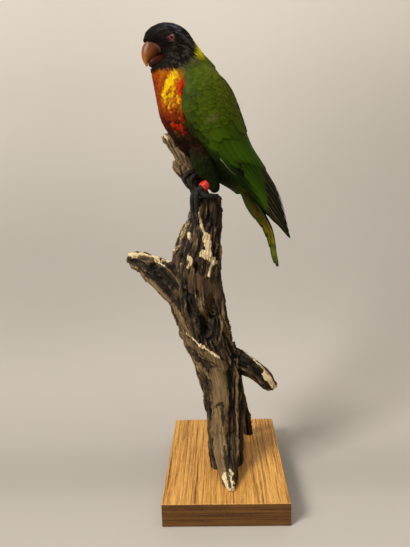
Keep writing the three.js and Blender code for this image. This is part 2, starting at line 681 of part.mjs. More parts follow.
const tarsusRadius = 3.4;
const leftward = new THREE.Vector3(0, 1, 0);

function thighSolid({ side, shift }) {
  const path = thigh.path.map(([x, y, z]) => [x + shift[0], side * y + shift[1], z + shift[2]]);
  return limb({ path, wide: thigh.wide, deep: thigh.deep, sides: 10, steps: 7 });
}

function tarsusSolid({ ankle, foot }, grow = 0) {
  const wide = [tarsusRadius, tarsusRadius];
  return limb({ path: [ankle, foot], wide, sides: 12, steps: 2, grow, side: leftward });
}

function clawSolid({ path, claw, thick }, grow) {
  const wide = [0.95, 0.6, 0.16].map((share) => share * thick.at(-1));
  return limb({ path: [path.at(-1), ...claw], wide, sides: 6, steps: 4, grow, side: leftward });
}

function footSolid(leg, grow = 0) {
  const fleshy = leg.toes.map(({ path, thick }) => limb({
    path, wide: thick, sides: 7, steps: 5, grow, side: leftward,
  }));
  const claws = leg.toes.map((toe) => clawSolid(toe, grow));
  return join([tarsusSolid(leg, grow), ...fleshy, ...claws]);
}

// The band on the left leg, a split plastic ring

const legRing = { outer: 5.3, wall: 1.2, height: 7.2, along: 0.43 };

function legRingSolid(grow = 0) {
  const from = new THREE.Vector3(...legs.left.ankle);
  const to = new THREE.Vector3(...legs.left.foot);
  const centre = from.clone().lerp(to, legRing.along);
  const inner = legRing.outer - legRing.wall - grow;
  const outer = legRing.outer + grow;
  const half = legRing.height / 2 + grow;
  const soft = 0.3;
  const corners = [[inner, -half + soft], [inner + soft, -half], [outer - soft, -half],
    [outer, -half + soft], [outer, half - soft], [outer - soft, half], [inner + soft, half],
    [inner, half - soft]];
  const profile = corners.map(([r, h]) => new THREE.Vector2(r, h));
  const ring = new THREE.LatheGeometry([...profile, profile[0].clone()], 15);
  const axis = to.clone().sub(from).normalize();
  const turn = new THREE.Quaternion().setFromUnitVectors(new THREE.Vector3(0, 1, 0), axis);
  return toSolid(ring.applyQuaternion(turn).translate(...centre.toArray()));
}

// Assembly

const paints = {
  oak: { color: 0xb9834a, roughness: 0.6 },
  driftwood: { color: 0x7a6650, roughness: 0.85 },
  hood: { color: 0x2b2630, roughness: 0.75 },
  collar: { color: 0x8f9b2a, roughness: 0.75 },
  breast: { color: 0xc8501c, roughness: 0.75 },
  green: { color: 0x3f5f1f, roughness: 0.7 },
  darkGreen: { color: 0x24351c, roughness: 0.75 },
  bill: { color: 0xa8521f, roughness: 0.35 },
  eye: { color: 0x4a1712, roughness: 0.08 },
  scale: { color: 0x4b4540, roughness: 0.65 },
  ring: { color: 0xd8331c, roughness: 0.3 },
};

const materials = Object.fromEntries(Object.entries(paints).map(([name, look]) => [
  name, new THREE.MeshStandardMaterial({ ...look, metalness: 0, name }),
]));

function part(name, solid, material) {
  const mesh = new THREE.Mesh(toGeometry(solid), materials[material]);
  mesh.name = name;
  return mesh;
}

const birdGroup = new THREE.Group();
birdGroup.position.set(bird.x, bird.y, bird.z);
birdGroup.rotation.z = Math.PI + bird.turn * degrees;
birdGroup.updateMatrixWorld(true);

// The wood as the bird's frame sees it, a gap larger, to keep the feet clear of it.
const toBird = birdGroup.matrixWorld.clone().invert();
const woodNearFeet = toSolid(toGeometry(driftwoodSolid(touchGap)).applyMatrix4(toBird));

const fleshRoom = fleshSolid(-24, 192, 36, 20, touchGap + 0.1);

function buildBird() {
  const beds = join([1, -1].map((side) => wingBed(side, -0.3)));
  const flesh = fleshSolid(-22, 192, 40, 20);
  const upper = billSolid(upperBill, 9);
  const lower = billSolid(lowerBill, 6).subtract(billSolid(upperBill, 9, touchGap));
  const billRoom = join([billSolid(upperBill, 9, touchGap), billSolid(lowerBill, 6, touchGap)]);
  const eyeBall = (side, grow) => ball(eye.radius + grow, eye.forward, side * eye.side, eye.up, 13);
  const eyeRoom = [1, -1].map((side) => eyeBall(side, touchGap));
  const headWhole = join([flesh.intersect(blockOf(hoodOutline)), lidSolid(1), lidSolid(-1)]);
  const hoodRoom = blockOf(hoodOutline, [-0.36, -touchGap]);
  const belowHood = flesh.subtract(join([hoodRoom, billRoom, beds]));
  const collar = belowHood.intersect(blockOf(collarOutline));
  const trunk = aboveRump(belowHood).subtract(blockOf(collarOutline, [0, -touchGap * 1.1]));
  const front = trunk.subtract(blockOf(mantleOutline, [touchGap, 0]));
  const parts = [
    part('head', largest(headWhole.subtract(billRoom).subtract(join(eyeRoom))), 'hood'),
    part('neck', largest(collar), 'collar'),
    part('breast', largest(front.subtract(blockOf(bellyOutline, [0, touchGap]))), 'breast'),
    part('belly', largest(front.intersect(blockOf(bellyOutline))), 'darkGreen'),
    part('mantle', largest(trunk.intersect(blockOf(mantleOutline))), 'green'),
    part('bill_upper', largest(upper.subtract(nostrils())), 'bill'),
    part('bill_lower', largest(lower), 'bill'),
    part('eye_left', eyeBall(1, 0), 'eye'),
    part('eye_right', eyeBall(-1, 0), 'eye'),
    part('tail', largest(tailSolid().subtract(beds)), 'green'),
    part('wing_left', wingSolid(1), 'green'),
    part('wing_right', wingSolid(-1), 'green'),
  ];
  for (const [name, leg] of Object.entries(legs)) {
    const foot = footSolid(leg).subtract(woodNearFeet);
    const room = join([footSolid(leg, touchGap), fleshRoom, beds]);
    const thighRoom = join([room, legRingSolid(touchGap), woodNearFeet]);
    parts.push(part(`thigh_${name}`, largest(thighSolid(leg).subtract(thighRoom)), 'darkGreen'));
    parts.push(part(`foot_${name}`, largest(foot.subtract(fleshRoom)), 'scale'));
  }
  parts.push(part('leg_ring', legRingSolid(), 'ring'));
  return parts;
}

birdGroup.add(...buildBird());

const birdRoom = toSolid(toGeometry(fleshRoom).applyMatrix4(birdGroup.matrixWorld));
const driftwood = largest(driftwoodSolid().subtract(birdRoom));

const model = new THREE.Group();
model.add(
  part('base_board', boardSolid(), 'oak'),
  part('driftwood', driftwood, 'driftwood'),
  birdGroup,
);

export default model;
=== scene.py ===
import math

import bpy
import numpy as np
from mathutils import Matrix, Vector, noise
from mathutils.bvhtree import BVHTree
from mathutils.kdtree import KDTree


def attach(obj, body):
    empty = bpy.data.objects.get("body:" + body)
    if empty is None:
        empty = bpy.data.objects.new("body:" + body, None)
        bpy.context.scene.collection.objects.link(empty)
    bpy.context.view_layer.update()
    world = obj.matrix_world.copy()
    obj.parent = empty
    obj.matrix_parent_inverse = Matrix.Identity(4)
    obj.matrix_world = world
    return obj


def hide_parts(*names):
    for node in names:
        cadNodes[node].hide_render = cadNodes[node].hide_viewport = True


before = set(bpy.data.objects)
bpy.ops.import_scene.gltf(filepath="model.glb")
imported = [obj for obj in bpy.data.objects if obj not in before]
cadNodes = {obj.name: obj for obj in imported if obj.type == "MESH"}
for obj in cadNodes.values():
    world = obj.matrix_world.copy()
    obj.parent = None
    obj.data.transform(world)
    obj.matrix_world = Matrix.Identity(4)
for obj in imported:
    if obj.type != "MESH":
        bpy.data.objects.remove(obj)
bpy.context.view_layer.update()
mm = 0.001
draw = np.random.default_rng(21)

# Camera

cameraSet = {
    "place": (-0.4, -523.5, 333.6), "down": 10.52, "left": 1.74, "roll": -1.72, "lens": 32.9,
    "focus": 500.0, "middle": (205.0, 273.5),
}


def cameraTurn():
    down, left, roll = (math.radians(cameraSet[k]) for k in ("down", "left", "roll"))
    ahead = Vector((-math.sin(left) * math.cos(down), math.cos(left) * math.cos(down), -math.sin(down)))
    right = ahead.cross(Vector((0, 0, 1))).normalized()
    above = right.cross(ahead)
    sideways = right * math.cos(roll) + above * math.sin(roll)
    upward = above * math.cos(roll) - right * math.sin(roll)
    return sideways, upward, ahead


def addCamera():
    right, above, ahead = cameraTurn()
    data = bpy.data.cameras.new("photoCamera")
    data.lens = cameraSet["lens"]
    data.clip_start = 0.01
    camera = bpy.data.objects.new("photoCamera", data)
    turn = Matrix((right, above, -ahead)).transposed().to_4x4()
    camera.matrix_world = Matrix.Translation(Vector(cameraSet["place"]) * mm) @ turn
    bpy.context.collection.objects.link(camera)
    bpy.context.scene.camera = camera


def seenAt(tree, pixels, depth=500.0):
    # where each pixel of the photograph meets a surface, in metres
    right, above, ahead = cameraTurn()
    start = Vector(cameraSet["place"]) * mm
    places = []
    for x, y in pixels:
        offset = right * (x - cameraSet["middle"][0]) + above * (cameraSet["middle"][1] - y)
        ray = (ahead * cameraSet["focus"] + offset).normalized()
        hit = tree.ray_cast(start, ray)[0]
        if hit is None:
            hit = tree.find_nearest(start + ray * depth * mm)[0]
        places.append(tuple(hit))
    return np.array(places)


addCamera()
bpy.context.scene.view_settings.view_transform = "Standard"

# Small helpers for objects


def pick(*objects):
    for other in list(bpy.context.selected_objects):
        other.select_set(False)
    for obj in objects:
        obj.select_set(True)
    bpy.context.view_layer.objects.active = objects[0]


def joined(*objects):
    pick(*objects)
    bpy.ops.object.join()
    return objects[0]


def editedAll(obj, operator, **settings):
    pick(obj)
    bpy.ops.object.mode_set(mode="EDIT")
    bpy.ops.mesh.select_all(action="SELECT")
    operator(**settings)
    bpy.ops.object.mode_set(mode="OBJECT")


def remeshed(obj, voxel, rounds):
    pick(obj)
    obj.data.remesh_voxel_size = voxel * mm
    bpy.ops.object.voxel_remesh()
    applied(obj, "SMOOTH", factor=0.5, iterations=rounds)


def applied(obj, kind, **settings):
    pick(obj)
    modifier = obj.modifiers.new(kind.lower(), kind)
    for name, value in settings.items():
        setattr(modifier, name, value)
    bpy.ops.object.modifier_apply(modifier=modifier.name)


def threesOf(items, field):
    values = np.empty(len(items) * 3, np.float32)
    items.foreach_get(field, values)
    return values.reshape(-1, 3).astype(float)


def pointsOf(obj):
    return threesOf(obj.data.vertices, "co")


def normalsOf(obj):
    return threesOf(obj.data.vertex_normals, "vector")


def setPoints(obj, points):
    obj.data.vertices.foreach_set("co", np.asarray(points, np.float32).ravel())
    obj.data.update()


def meshOf(name, points, faces):
    mesh = bpy.data.meshes.new(name)
    faces = np.asarray(faces, np.int32)
    mesh.vertices.add(len(points))
    mesh.vertices.foreach_set("co", np.asarray(points, np.float32).ravel())
    mesh.loops.add(faces.size)
    mesh.loops.foreach_set("vertex_index", faces.ravel())
    mesh.polygons.add(len(faces))
    mesh.polygons.foreach_set("loop_start", np.arange(0, faces.size, faces.shape[1], dtype=np.int32))
    mesh.update(calc_edges=True)
    obj = bpy.data.objects.new(name, mesh)
    bpy.context.collection.objects.link(obj)
    return obj


def giveValues(obj, name, values):
    values = np.asarray(values, np.float32)
    kinds = {1: ("FLOAT", "value"), 3: ("FLOAT_VECTOR", "vector"), 4: ("FLOAT_COLOR", "color")}
    kind, field = kinds[1 if values.ndim == 1 else values.shape[1]]
    layer = obj.data.attributes.new(name, kind, "POINT")
    layer.data.foreach_set(field, values.ravel())


def giveCoat(obj, colours):
    giveValues(obj, "coat", np.concatenate([colours, np.ones((len(colours), 1))], 1))


def smoothShade(obj):
    obj.data.polygons.foreach_set("use_smooth", np.ones(len(obj.data.polygons), bool))
    obj.data.update()


def bvhOf(obj):
    return BVHTree.FromObject(obj, bpy.context.evaluated_depsgraph_get())


def cadCopy(name, *nodeNames):
    copies = []
    for nodeName in nodeNames:
        copy = bpy.data.objects.new(name, cadNodes[nodeName].data.copy())
        copy.data.materials.clear()
        bpy.context.collection.objects.link(copy)
        copies.append(copy)
    whole = joined(*copies) if len(copies) > 1 else copies[0]
    plain = ("position", ".edge_verts", ".corner_vert", ".corner_edge")
    for layer in list(whole.data.attributes):
        if layer.name not in plain and not layer.is_required:
            whole.data.attributes.remove(layer)
    editedAll(whole, bpy.ops.mesh.remove_doubles, threshold=2e-6)
    return whole


def finishPiece(obj, slotName, material, *replaced):
    obj.data.materials.clear()
    obj.data.materials.append(material)
    smoothShade(obj)
    if replaced:
        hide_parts(*replaced)
    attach(obj, "root")
    print(obj.name, len(obj.data.polygons), "faces")


# The bird's own frame, in millimetres: +X to the bill, +Y to its left, +Z up

birdPlace = {"x": -15.7, "y": -10.0, "z": 318.3, "turn": 202.0, "lean": 66.0}
turnCos, turnSin = math.cos(math.radians(birdPlace["turn"])), math.sin(math.radians(birdPlace["turn"]))
leanCos, leanSin = math.cos(math.radians(birdPlace["lean"])), math.sin(math.radians(birdPlace["lean"]))
spine = np.array([leanCos, 0, leanSin])
chest = np.array([leanSin, 0, -leanCos])


def toWorld(p):
    p = np.asarray(p, float)
    x = p[..., 0] * turnCos - p[..., 1] * turnSin + birdPlace["x"]
    y = p[..., 0] * turnSin + p[..., 1] * turnCos + birdPlace["y"]
    return np.stack([x, y, p[..., 2] + birdPlace["z"]], -1) * mm


def toBird(p):
    p = np.asarray(p, float) / mm
    x, y = p[..., 0] - birdPlace["x"], p[..., 1] - birdPlace["y"]
    return np.stack([x * turnCos + y * turnSin, y * turnCos - x * turnSin, p[..., 2] - birdPlace["z"]], -1)


def turnedToWorld(d):
    return np.stack([d[..., 0] * turnCos - d[..., 1] * turnSin, d[..., 0] * turnSin + d[..., 1] * turnCos,
                     d[..., 2]], -1)


def onBody(along, out, left):
    along, out, left = np.broadcast_arrays(np.asarray(along, float), out, left)
    return along[..., None] * spine + out[..., None] * chest + left[..., None] * np.array([0, 1.0, 0])


def smoothly(places, values, at):
    places, values = np.asarray(places, float), np.asarray(values, float)
    if places[-1] < places[0]:
        places, values = places[::-1], values[::-1]
    last = len(places) - 1
    k = np.clip(np.searchsorted(places, at), 1, last)
    span = places[k] - places[k - 1]
    u = np.clip((at - places[k - 1]) / span, 0, 1)
    before, after = np.maximum(k - 2, 0), np.minimum(k + 1, last)
    step = values[k] - values[k - 1]
    slopeIn = np.where(k > 1, (values[k] - values[before]) / (places[k] - places[before]) * span, step)
    rising = (values[after] - values[k - 1]) / (places[after] - places[k - 1])
    slopeOut = np.where(k < last, rising * span, step)
    return ((2 * u**3 - 3 * u**2 + 1) * values[k - 1] + (u**3 - 2 * u**2 + u) * slopeIn
            + (3 * u**2 - 2 * u**3) * values[k] + (u**3 - u**2) * slopeOut)


def spread(values, count):
    return np.interp(np.linspace(0, 1, count), np.linspace(0, 1, len(values)), values)


def blend(low, high, value):
    u = np.clip((np.asarray(value, float) - low) / (high - low), 0, 1)
    return u * u * (3 - 2 * u)


def mixed(a, b, share):
    share = np.asarray(share)[..., None]
    return np.asarray(a) * (1 - share) + np.asarray(b) * share


def unit(v):
    return v / np.maximum(np.linalg.norm(v, axis=-1, keepdims=True), 1e-12)


def colour(r, g, b):
    return np.array([((c / 255 + 0.055) / 1.055) ** 2.4 if c > 10 else c / 255 / 12.92 for c in (r, g, b)])


# Shader helpers


def newMaterial(name):
    material = bpy.data.materials.new(name)
    material.use_nodes = True
    return material, material.node_tree


def node(tree, kind, **settings):
    made = tree.nodes.new("ShaderNode" + kind)
    for name, value in settings.items():
        if name in made.inputs:
            made.inputs[name].default_value = value
        else:
            setattr(made, name, value)
    return made


def feed(tree, socket, value):
    if isinstance(value, bpy.types.NodeSocket):
        tree.links.new(value, socket)
    elif value is not None:
        socket.default_value = value


def finished(material, tone, normal=None, **settings):
    # wires colour and bump to the shader and sets its other sockets, with _ for the space in a name
    tree = material.node_tree
    shader = tree.nodes["Principled BSDF"]
    feed(tree, shader.inputs["Base Color"], tone)
    for name, value in settings.items():
        feed(tree, shader.inputs[name.replace("_", " ")], value)
    if normal is not None:
        feed(tree, shader.inputs["Normal"], normal)
    return material


def opaque(value):
    if isinstance(value, (int, float)):
        return value, value, value, 1
    return (*value[:3], 1)


def mixNode(tree, kind, share, a, b):
    made = node(tree, "Mix", data_type="RGBA", blend_type=kind, clamp_factor=True)
    feed(tree, made.inputs[0], share)
    for socket, value in zip(made.inputs[6:8], (a, b)):
        feed(tree, socket, value if isinstance(value, bpy.types.NodeSocket) else opaque(value))
    return made.outputs[2]


def ramp(tree, source, *stops):
    made = node(tree, "ValToRGB")
    feed(tree, made.inputs[0], source)
    elements = made.color_ramp.elements
    while len(elements) < len(stops):
        elements.new(0.5)
    for element, (place, value) in zip(elements, stops):
        element.position = place
        element.color = opaque(value)
    return made.outputs[0]


def tones(tree, source, *stops):
    # a ramp whose stops are a place and a colour in steps of 0 to 255
    return ramp(tree, source, *((place, colour(*value)) for place, *value in stops))


def noiseNode(tree, source, scale, detail=4.0, rough=0.55, twist=0.0):
    made = node(tree, "TexNoise", Scale=scale, Detail=detail, Roughness=rough, Distortion=twist)
    feed(tree, made.inputs["Vector"], source)
    return made.outputs["Fac"]


def stretchedNoise(tree, source, scale, detail, rough=0.55, twist=0.0):
    made = node(tree, "Mapping", Scale=scale)
    feed(tree, made.inputs[0], source)
    return noiseNode(tree, made.outputs[0], 1.0, detail, rough, twist)


def maths(tree, kind, a, b=None):
    made = node(tree, "Math", operation=kind)
    for socket, value in zip(made.inputs, (a, b)):
        feed(tree, socket, value)
    return made.outputs[0]


def bumpNode(tree, height, strength, distance, below=None):
    made = node(tree, "Bump", Strength=strength, Distance=distance)
    feed(tree, made.inputs["Height"], height)
    feed(tree, made.inputs["Normal"], below)
    return made.outputs[0]


def splitNode(tree, source):
    made = node(tree, "SeparateXYZ")
    feed(tree, made.inputs[0], source)
    return made.outputs


def objectPlace(tree):
    return node(tree, "TexCoord").outputs["Object"]


def attribute(tree, name, output="Vector"):
    return node(tree, "Attribute", attribute_name=name).outputs[output]


# Floor, backdrop and light

stageSet = {
    "wide": 2.6, "front": -1.1, "bend": 0.75, "tall": 1.7, "radius": 0.55, "rows": 240, "columns": 53,
    # painted shade and light: how bright the paper is along its run, in steps of 0 to 255
    "travel": (-1.3, -0.12, -0.05, -0.01, 0.03, 0.08, 0.2, 0.34, 0.49, 0.63, 0.78, 0.92, 1.06, 1.25, 2.2),
    "bright": (186, 186, 183, 175, 176, 184, 192, 189, 178, 174, 181, 193, 203, 210, 212),
    "tints": ((0.97, 0.885, 0.78), (1.0, 0.915, 0.81)),
    # painted shade: darker high on the bend to the right, and darker towards the left
    "dim": {"by": 10, "at": 0.94, "reach": 0.2, "from": -0.15, "to": 0.4},
    "left": {"by": 0.065, "from": 0.15, "to": -0.45},
}


def addStage():
    # paper that runs from the floor up a round bend, with painted shade and light: darker in a band on the
    # floor and where it turns, lighter up the wall, darker high on the right and towards the left
    s = stageSet
    bendStart = s["bend"] - s["radius"]
    length = bendStart - s["front"] + s["radius"] * math.pi / 2 + s["tall"] - s["radius"]
    travel = s["front"] + length * np.linspace(0, 1, s["rows"])
    turn = np.clip((travel - bendStart) / s["radius"], 0, math.pi / 2)
    y = np.minimum(travel, bendStart) + s["radius"] * np.sin(turn)
    climb = np.maximum(0, travel - bendStart - s["radius"] * math.pi / 2)
    z = s["radius"] * (1 - np.cos(turn)) + climb
    columns = s["columns"]
    across = np.linspace(-s["wide"], s["wide"], columns)
    points = np.stack([np.tile(across, len(y)), np.repeat(y, columns), np.repeat(z, columns)], 1)
    corner = (np.arange(len(y) - 1)[:, None] * columns + np.arange(columns - 1)).ravel()
    faces = np.stack([corner, corner + 1, corner + columns + 1, corner + columns], 1)
    sweep = meshOf("paperSweep", points, faces)
    smoothShade(sweep)
    # painted shade and light along the paper and across it, kept in its shade attribute
    shade = np.repeat(smoothly(s["travel"], s["bright"], travel), columns)
    dim, left = s["dim"], s["left"]
    behind = np.exp(-(((np.repeat(travel, columns) - dim["at"]) / dim["reach"]) ** 2))
    shade = shade - dim["by"] * behind * blend(dim["from"], dim["to"], points[:, 0])
    shade = shade * (1 - left["by"] * blend(left["from"], left["to"], points[:, 0]))
    giveValues(sweep, "shade", shade / 255)
    material, tree = newMaterial("paper")
    place = objectPlace(tree)
    bright = maths(tree, "POWER", attribute(tree, "shade", "Fac"), 2.2)
    grey = node(tree, "CombineColor")
    for socket in grey.inputs:
        feed(tree, socket, bright)
    tone = ramp(tree, noiseNode(tree, place, 3.0, 3.0), *zip((0.3, 0.7), s["tints"]))
    tone = mixNode(tree, "MULTIPLY", 1.0, tone, grey.outputs[0])
    fibre = bumpNode(tree, noiseNode(tree, place, 900.0, 2.0), 0.15, 0.0004)
    sweep.data.materials.append(finished(material, tone, fibre, Roughness=0.9, Specular_IOR_Level=0.2))


lightSet = {
    "windowLight": {"place": (-1.45, -1.4, 1.7), "aim": (0, 0, 0.3), "size": (0.9, 0.9), "power": 74,
                    "tint": (1.0, 0.985, 0.95)},
    "ceilingLight": {"place": (0.25, -0.2, 1.75), "aim": (0.05, 0.35, 0.2), "size": (1.6, 1.2), "power": 9,
                     "tint": (1.0, 0.965, 0.91)},
}
roomSet = {"tint": (1.0, 0.985, 0.96, 1), "power": 0.2}


def addLights():
    for name, s in lightSet.items():
        data = bpy.data.lights.new(name, "AREA")
        data.shape = "RECTANGLE"
        data.size, data.size_y = s["size"]
        data.energy = s["power"]
        data.color = s["tint"]
        light = bpy.data.objects.new(name, data)
        light.location = s["place"]
        light.rotation_euler = (Vector(s["aim"]) - Vector(s["place"])).to_track_quat("-Z", "Y").to_euler()
        bpy.context.collection.objects.link(light)
    room = bpy.data.worlds.new("studio")
    room.use_nodes = True
    glow = room.node_tree.nodes["Background"]
    glow.inputs["Color"].default_value = roomSet["tint"]
    glow.inputs["Strength"].default_value = roomSet["power"]
    bpy.context.scene.world = room


addStage()
addLights()
print("camera, stage and lights")

# Oak board: the CAD node stays, with its own grain

oakSet = {
    "light": (240, 180, 92), "mid": (200, 138, 62), "dark": (112, 68, 26), "fleck": (250, 204, 122),
    # side: the tone of the board's sides, their own darker colour deepened with painted shade
    "side": (0.215, 0.17, 0.08), "rings": (440, 8, 440), "layers": (9, 440, 440), "pores": (1500, 60, 1500),
    "slow": (30, 3.0, 30), "flecks": (520, 130, 520),
}


def paintOak():
    s = oakSet
    material, tree = newMaterial("oak")
    place = objectPlace(tree)
    slow = stretchedNoise(tree, place, s["slow"], 3.0, 0.5, 0.4)
    rings = stretchedNoise(tree, place, s["rings"], 4.0, 0.75, 0.3)
    layers = stretchedNoise(tree, place, s["layers"], 4.0, 0.75, 0.3)
    pores = stretchedNoise(tree, place, s["pores"], 3.0, 0.7)
    turned = node(tree, "Mapping", Scale=s["flecks"], Rotation=(0, 0, 0.12))
    feed(tree, turned.inputs[0], place)
    fleck = noiseNode(tree, turned.outputs[0], 1.0, 2.0)
    upward = splitNode(tree, node(tree, "NewGeometry").outputs["Normal"])["Z"]
    upward = ramp(tree, upward, (0.1, 0.0), (0.8, 1.0))
    rings = mixNode(tree, "MIX", upward, layers, rings)
    tone = tones(tree, rings, (0.34, *s["dark"]), (0.46, *s["mid"]), (0.62, *s["light"]))
    tone = mixNode(tree, "MULTIPLY", 0.55, tone, ramp(tree, slow, (0.3, 0.62), (0.65, 1.0)))
    tone = mixNode(tree, "MIX", ramp(tree, fleck, (0.6, 0.0), (0.7, 0.3)), tone, colour(*s["fleck"]))
    tone = mixNode(tree, "MULTIPLY", 0.75, tone, ramp(tree, pores, (0.32, 0.35), (0.5, 1.0)))
    # painted shade: the sides much darker than the top, over their own darker grain
    tone = mixNode(tree, "MULTIPLY", maths(tree, "SUBTRACT", 1.0, upward), tone, s["side"])
    height = maths(tree, "ADD", ramp(tree, pores, (0.3, 0.0), (0.45, 1.0)), rings)
    gloss = ramp(tree, rings, (0.3, 0.62), (0.7, 0.45))
    board = cadNodes["base_board"]
    board.data.materials.clear()
    board.data.materials.append(finished(material, tone, bumpNode(tree, height, 0.35, 0.0003),
                                         Roughness=gloss, Specular_IOR_Level=0.35))


paintOak()

# Driftwood: limbs as in the frame, by the line through each, its rough radius and a direction across it

woodLimbs = {
    "trunk": {
        "line": [(1, -15, 18), (1.3, -14, 70), (0, -13, 98), (-2.5, -11, 122), (-8, -11, 146),
                 (-15, -11, 170), (-19, -12, 190), (-24, -12, 211), (-25, -12, 233), (-23, -12, 254),
                 (-19.5, -11, 272), (-14.5, -10, 291), (-12, -10, 306), (-11.5, -10, 316.5)],
        "wide": [18, 19, 21, 22, 22, 25, 27, 28, 27, 25, 22, 18, 16, 14.5], "across": (1, 0, 0),
    },
    "branch": {
        "line": [(-26, -12, 210), (-46, -13, 226), (-62, -13, 241), (-77, -13, 251.3), (-88, -12, 256),
                 (-95, -12, 258.6)],
        "wide": [18, 17, 15, 10.5, 8, 4], "across": (0, 0, 1),
    },
    "stub": {
        "line": [(4, -9, 146), (19, -7, 139), (31, -6, 132), (43, -5, 121.5), (53, -5, 111.5),
                 (57, -5, 107.5)],
        "wide": [14, 12, 10, 9, 8, 4], "across": (0, 0, 1),
    },
    "spur": {
        "line": [(-13, -4, 304), (-20, -2, 322), (-27, -1, 338), (-34, -1, 353), (-41.4, -1, 365),
                 (-49, -2, 375), (-53.3, -2, 380.5)],
        "wide": [9, 8.5, 8, 8, 6.5, 5, 3], "across": (1, 0, 0),
    },
    "collar": {
        "line": [(-25, -3, 330), (-32.5, -3, 342), (-38.5, -3, 351), (-41, -3, 355.5)],
        "wide": [7.5, 8.6, 7.6, 5], "across": (1, 0, 0),
    },
    "toe": {
        "line": [(1, -18, 70), (1.5, -31, 48), (3.5, -47, 32), (5, -60, 27), (6, -69, 25.5)],
        "wide": [14, 13, 10.5, 6.5, 3.2], "across": (1, 0, 0),
    },
    "root": {
        "line": [(6, -2, 156), (12, 12, 128), (18, 27, 98), (25, 41, 62), (31, 51, 18)],
        "wide": [10, 8, 5.5, 5, 6.5], "across": (1, 0, 0),
    },
}

# Places on the wood that are carved, raised or given stains, with painted shade in the dark strokes and a
# painted highlight in two pale ones


def brush(path, wide, rise, **stainAndPaintedLight):
    # a path in pixels of the photograph, half the stroke's width, its height in millimetres, its stains,
    # painted shade and painted highlight
    return {"path": path, "wide": wide, "rise": rise, "stainAndPaintedLight": stainAndPaintedLight}


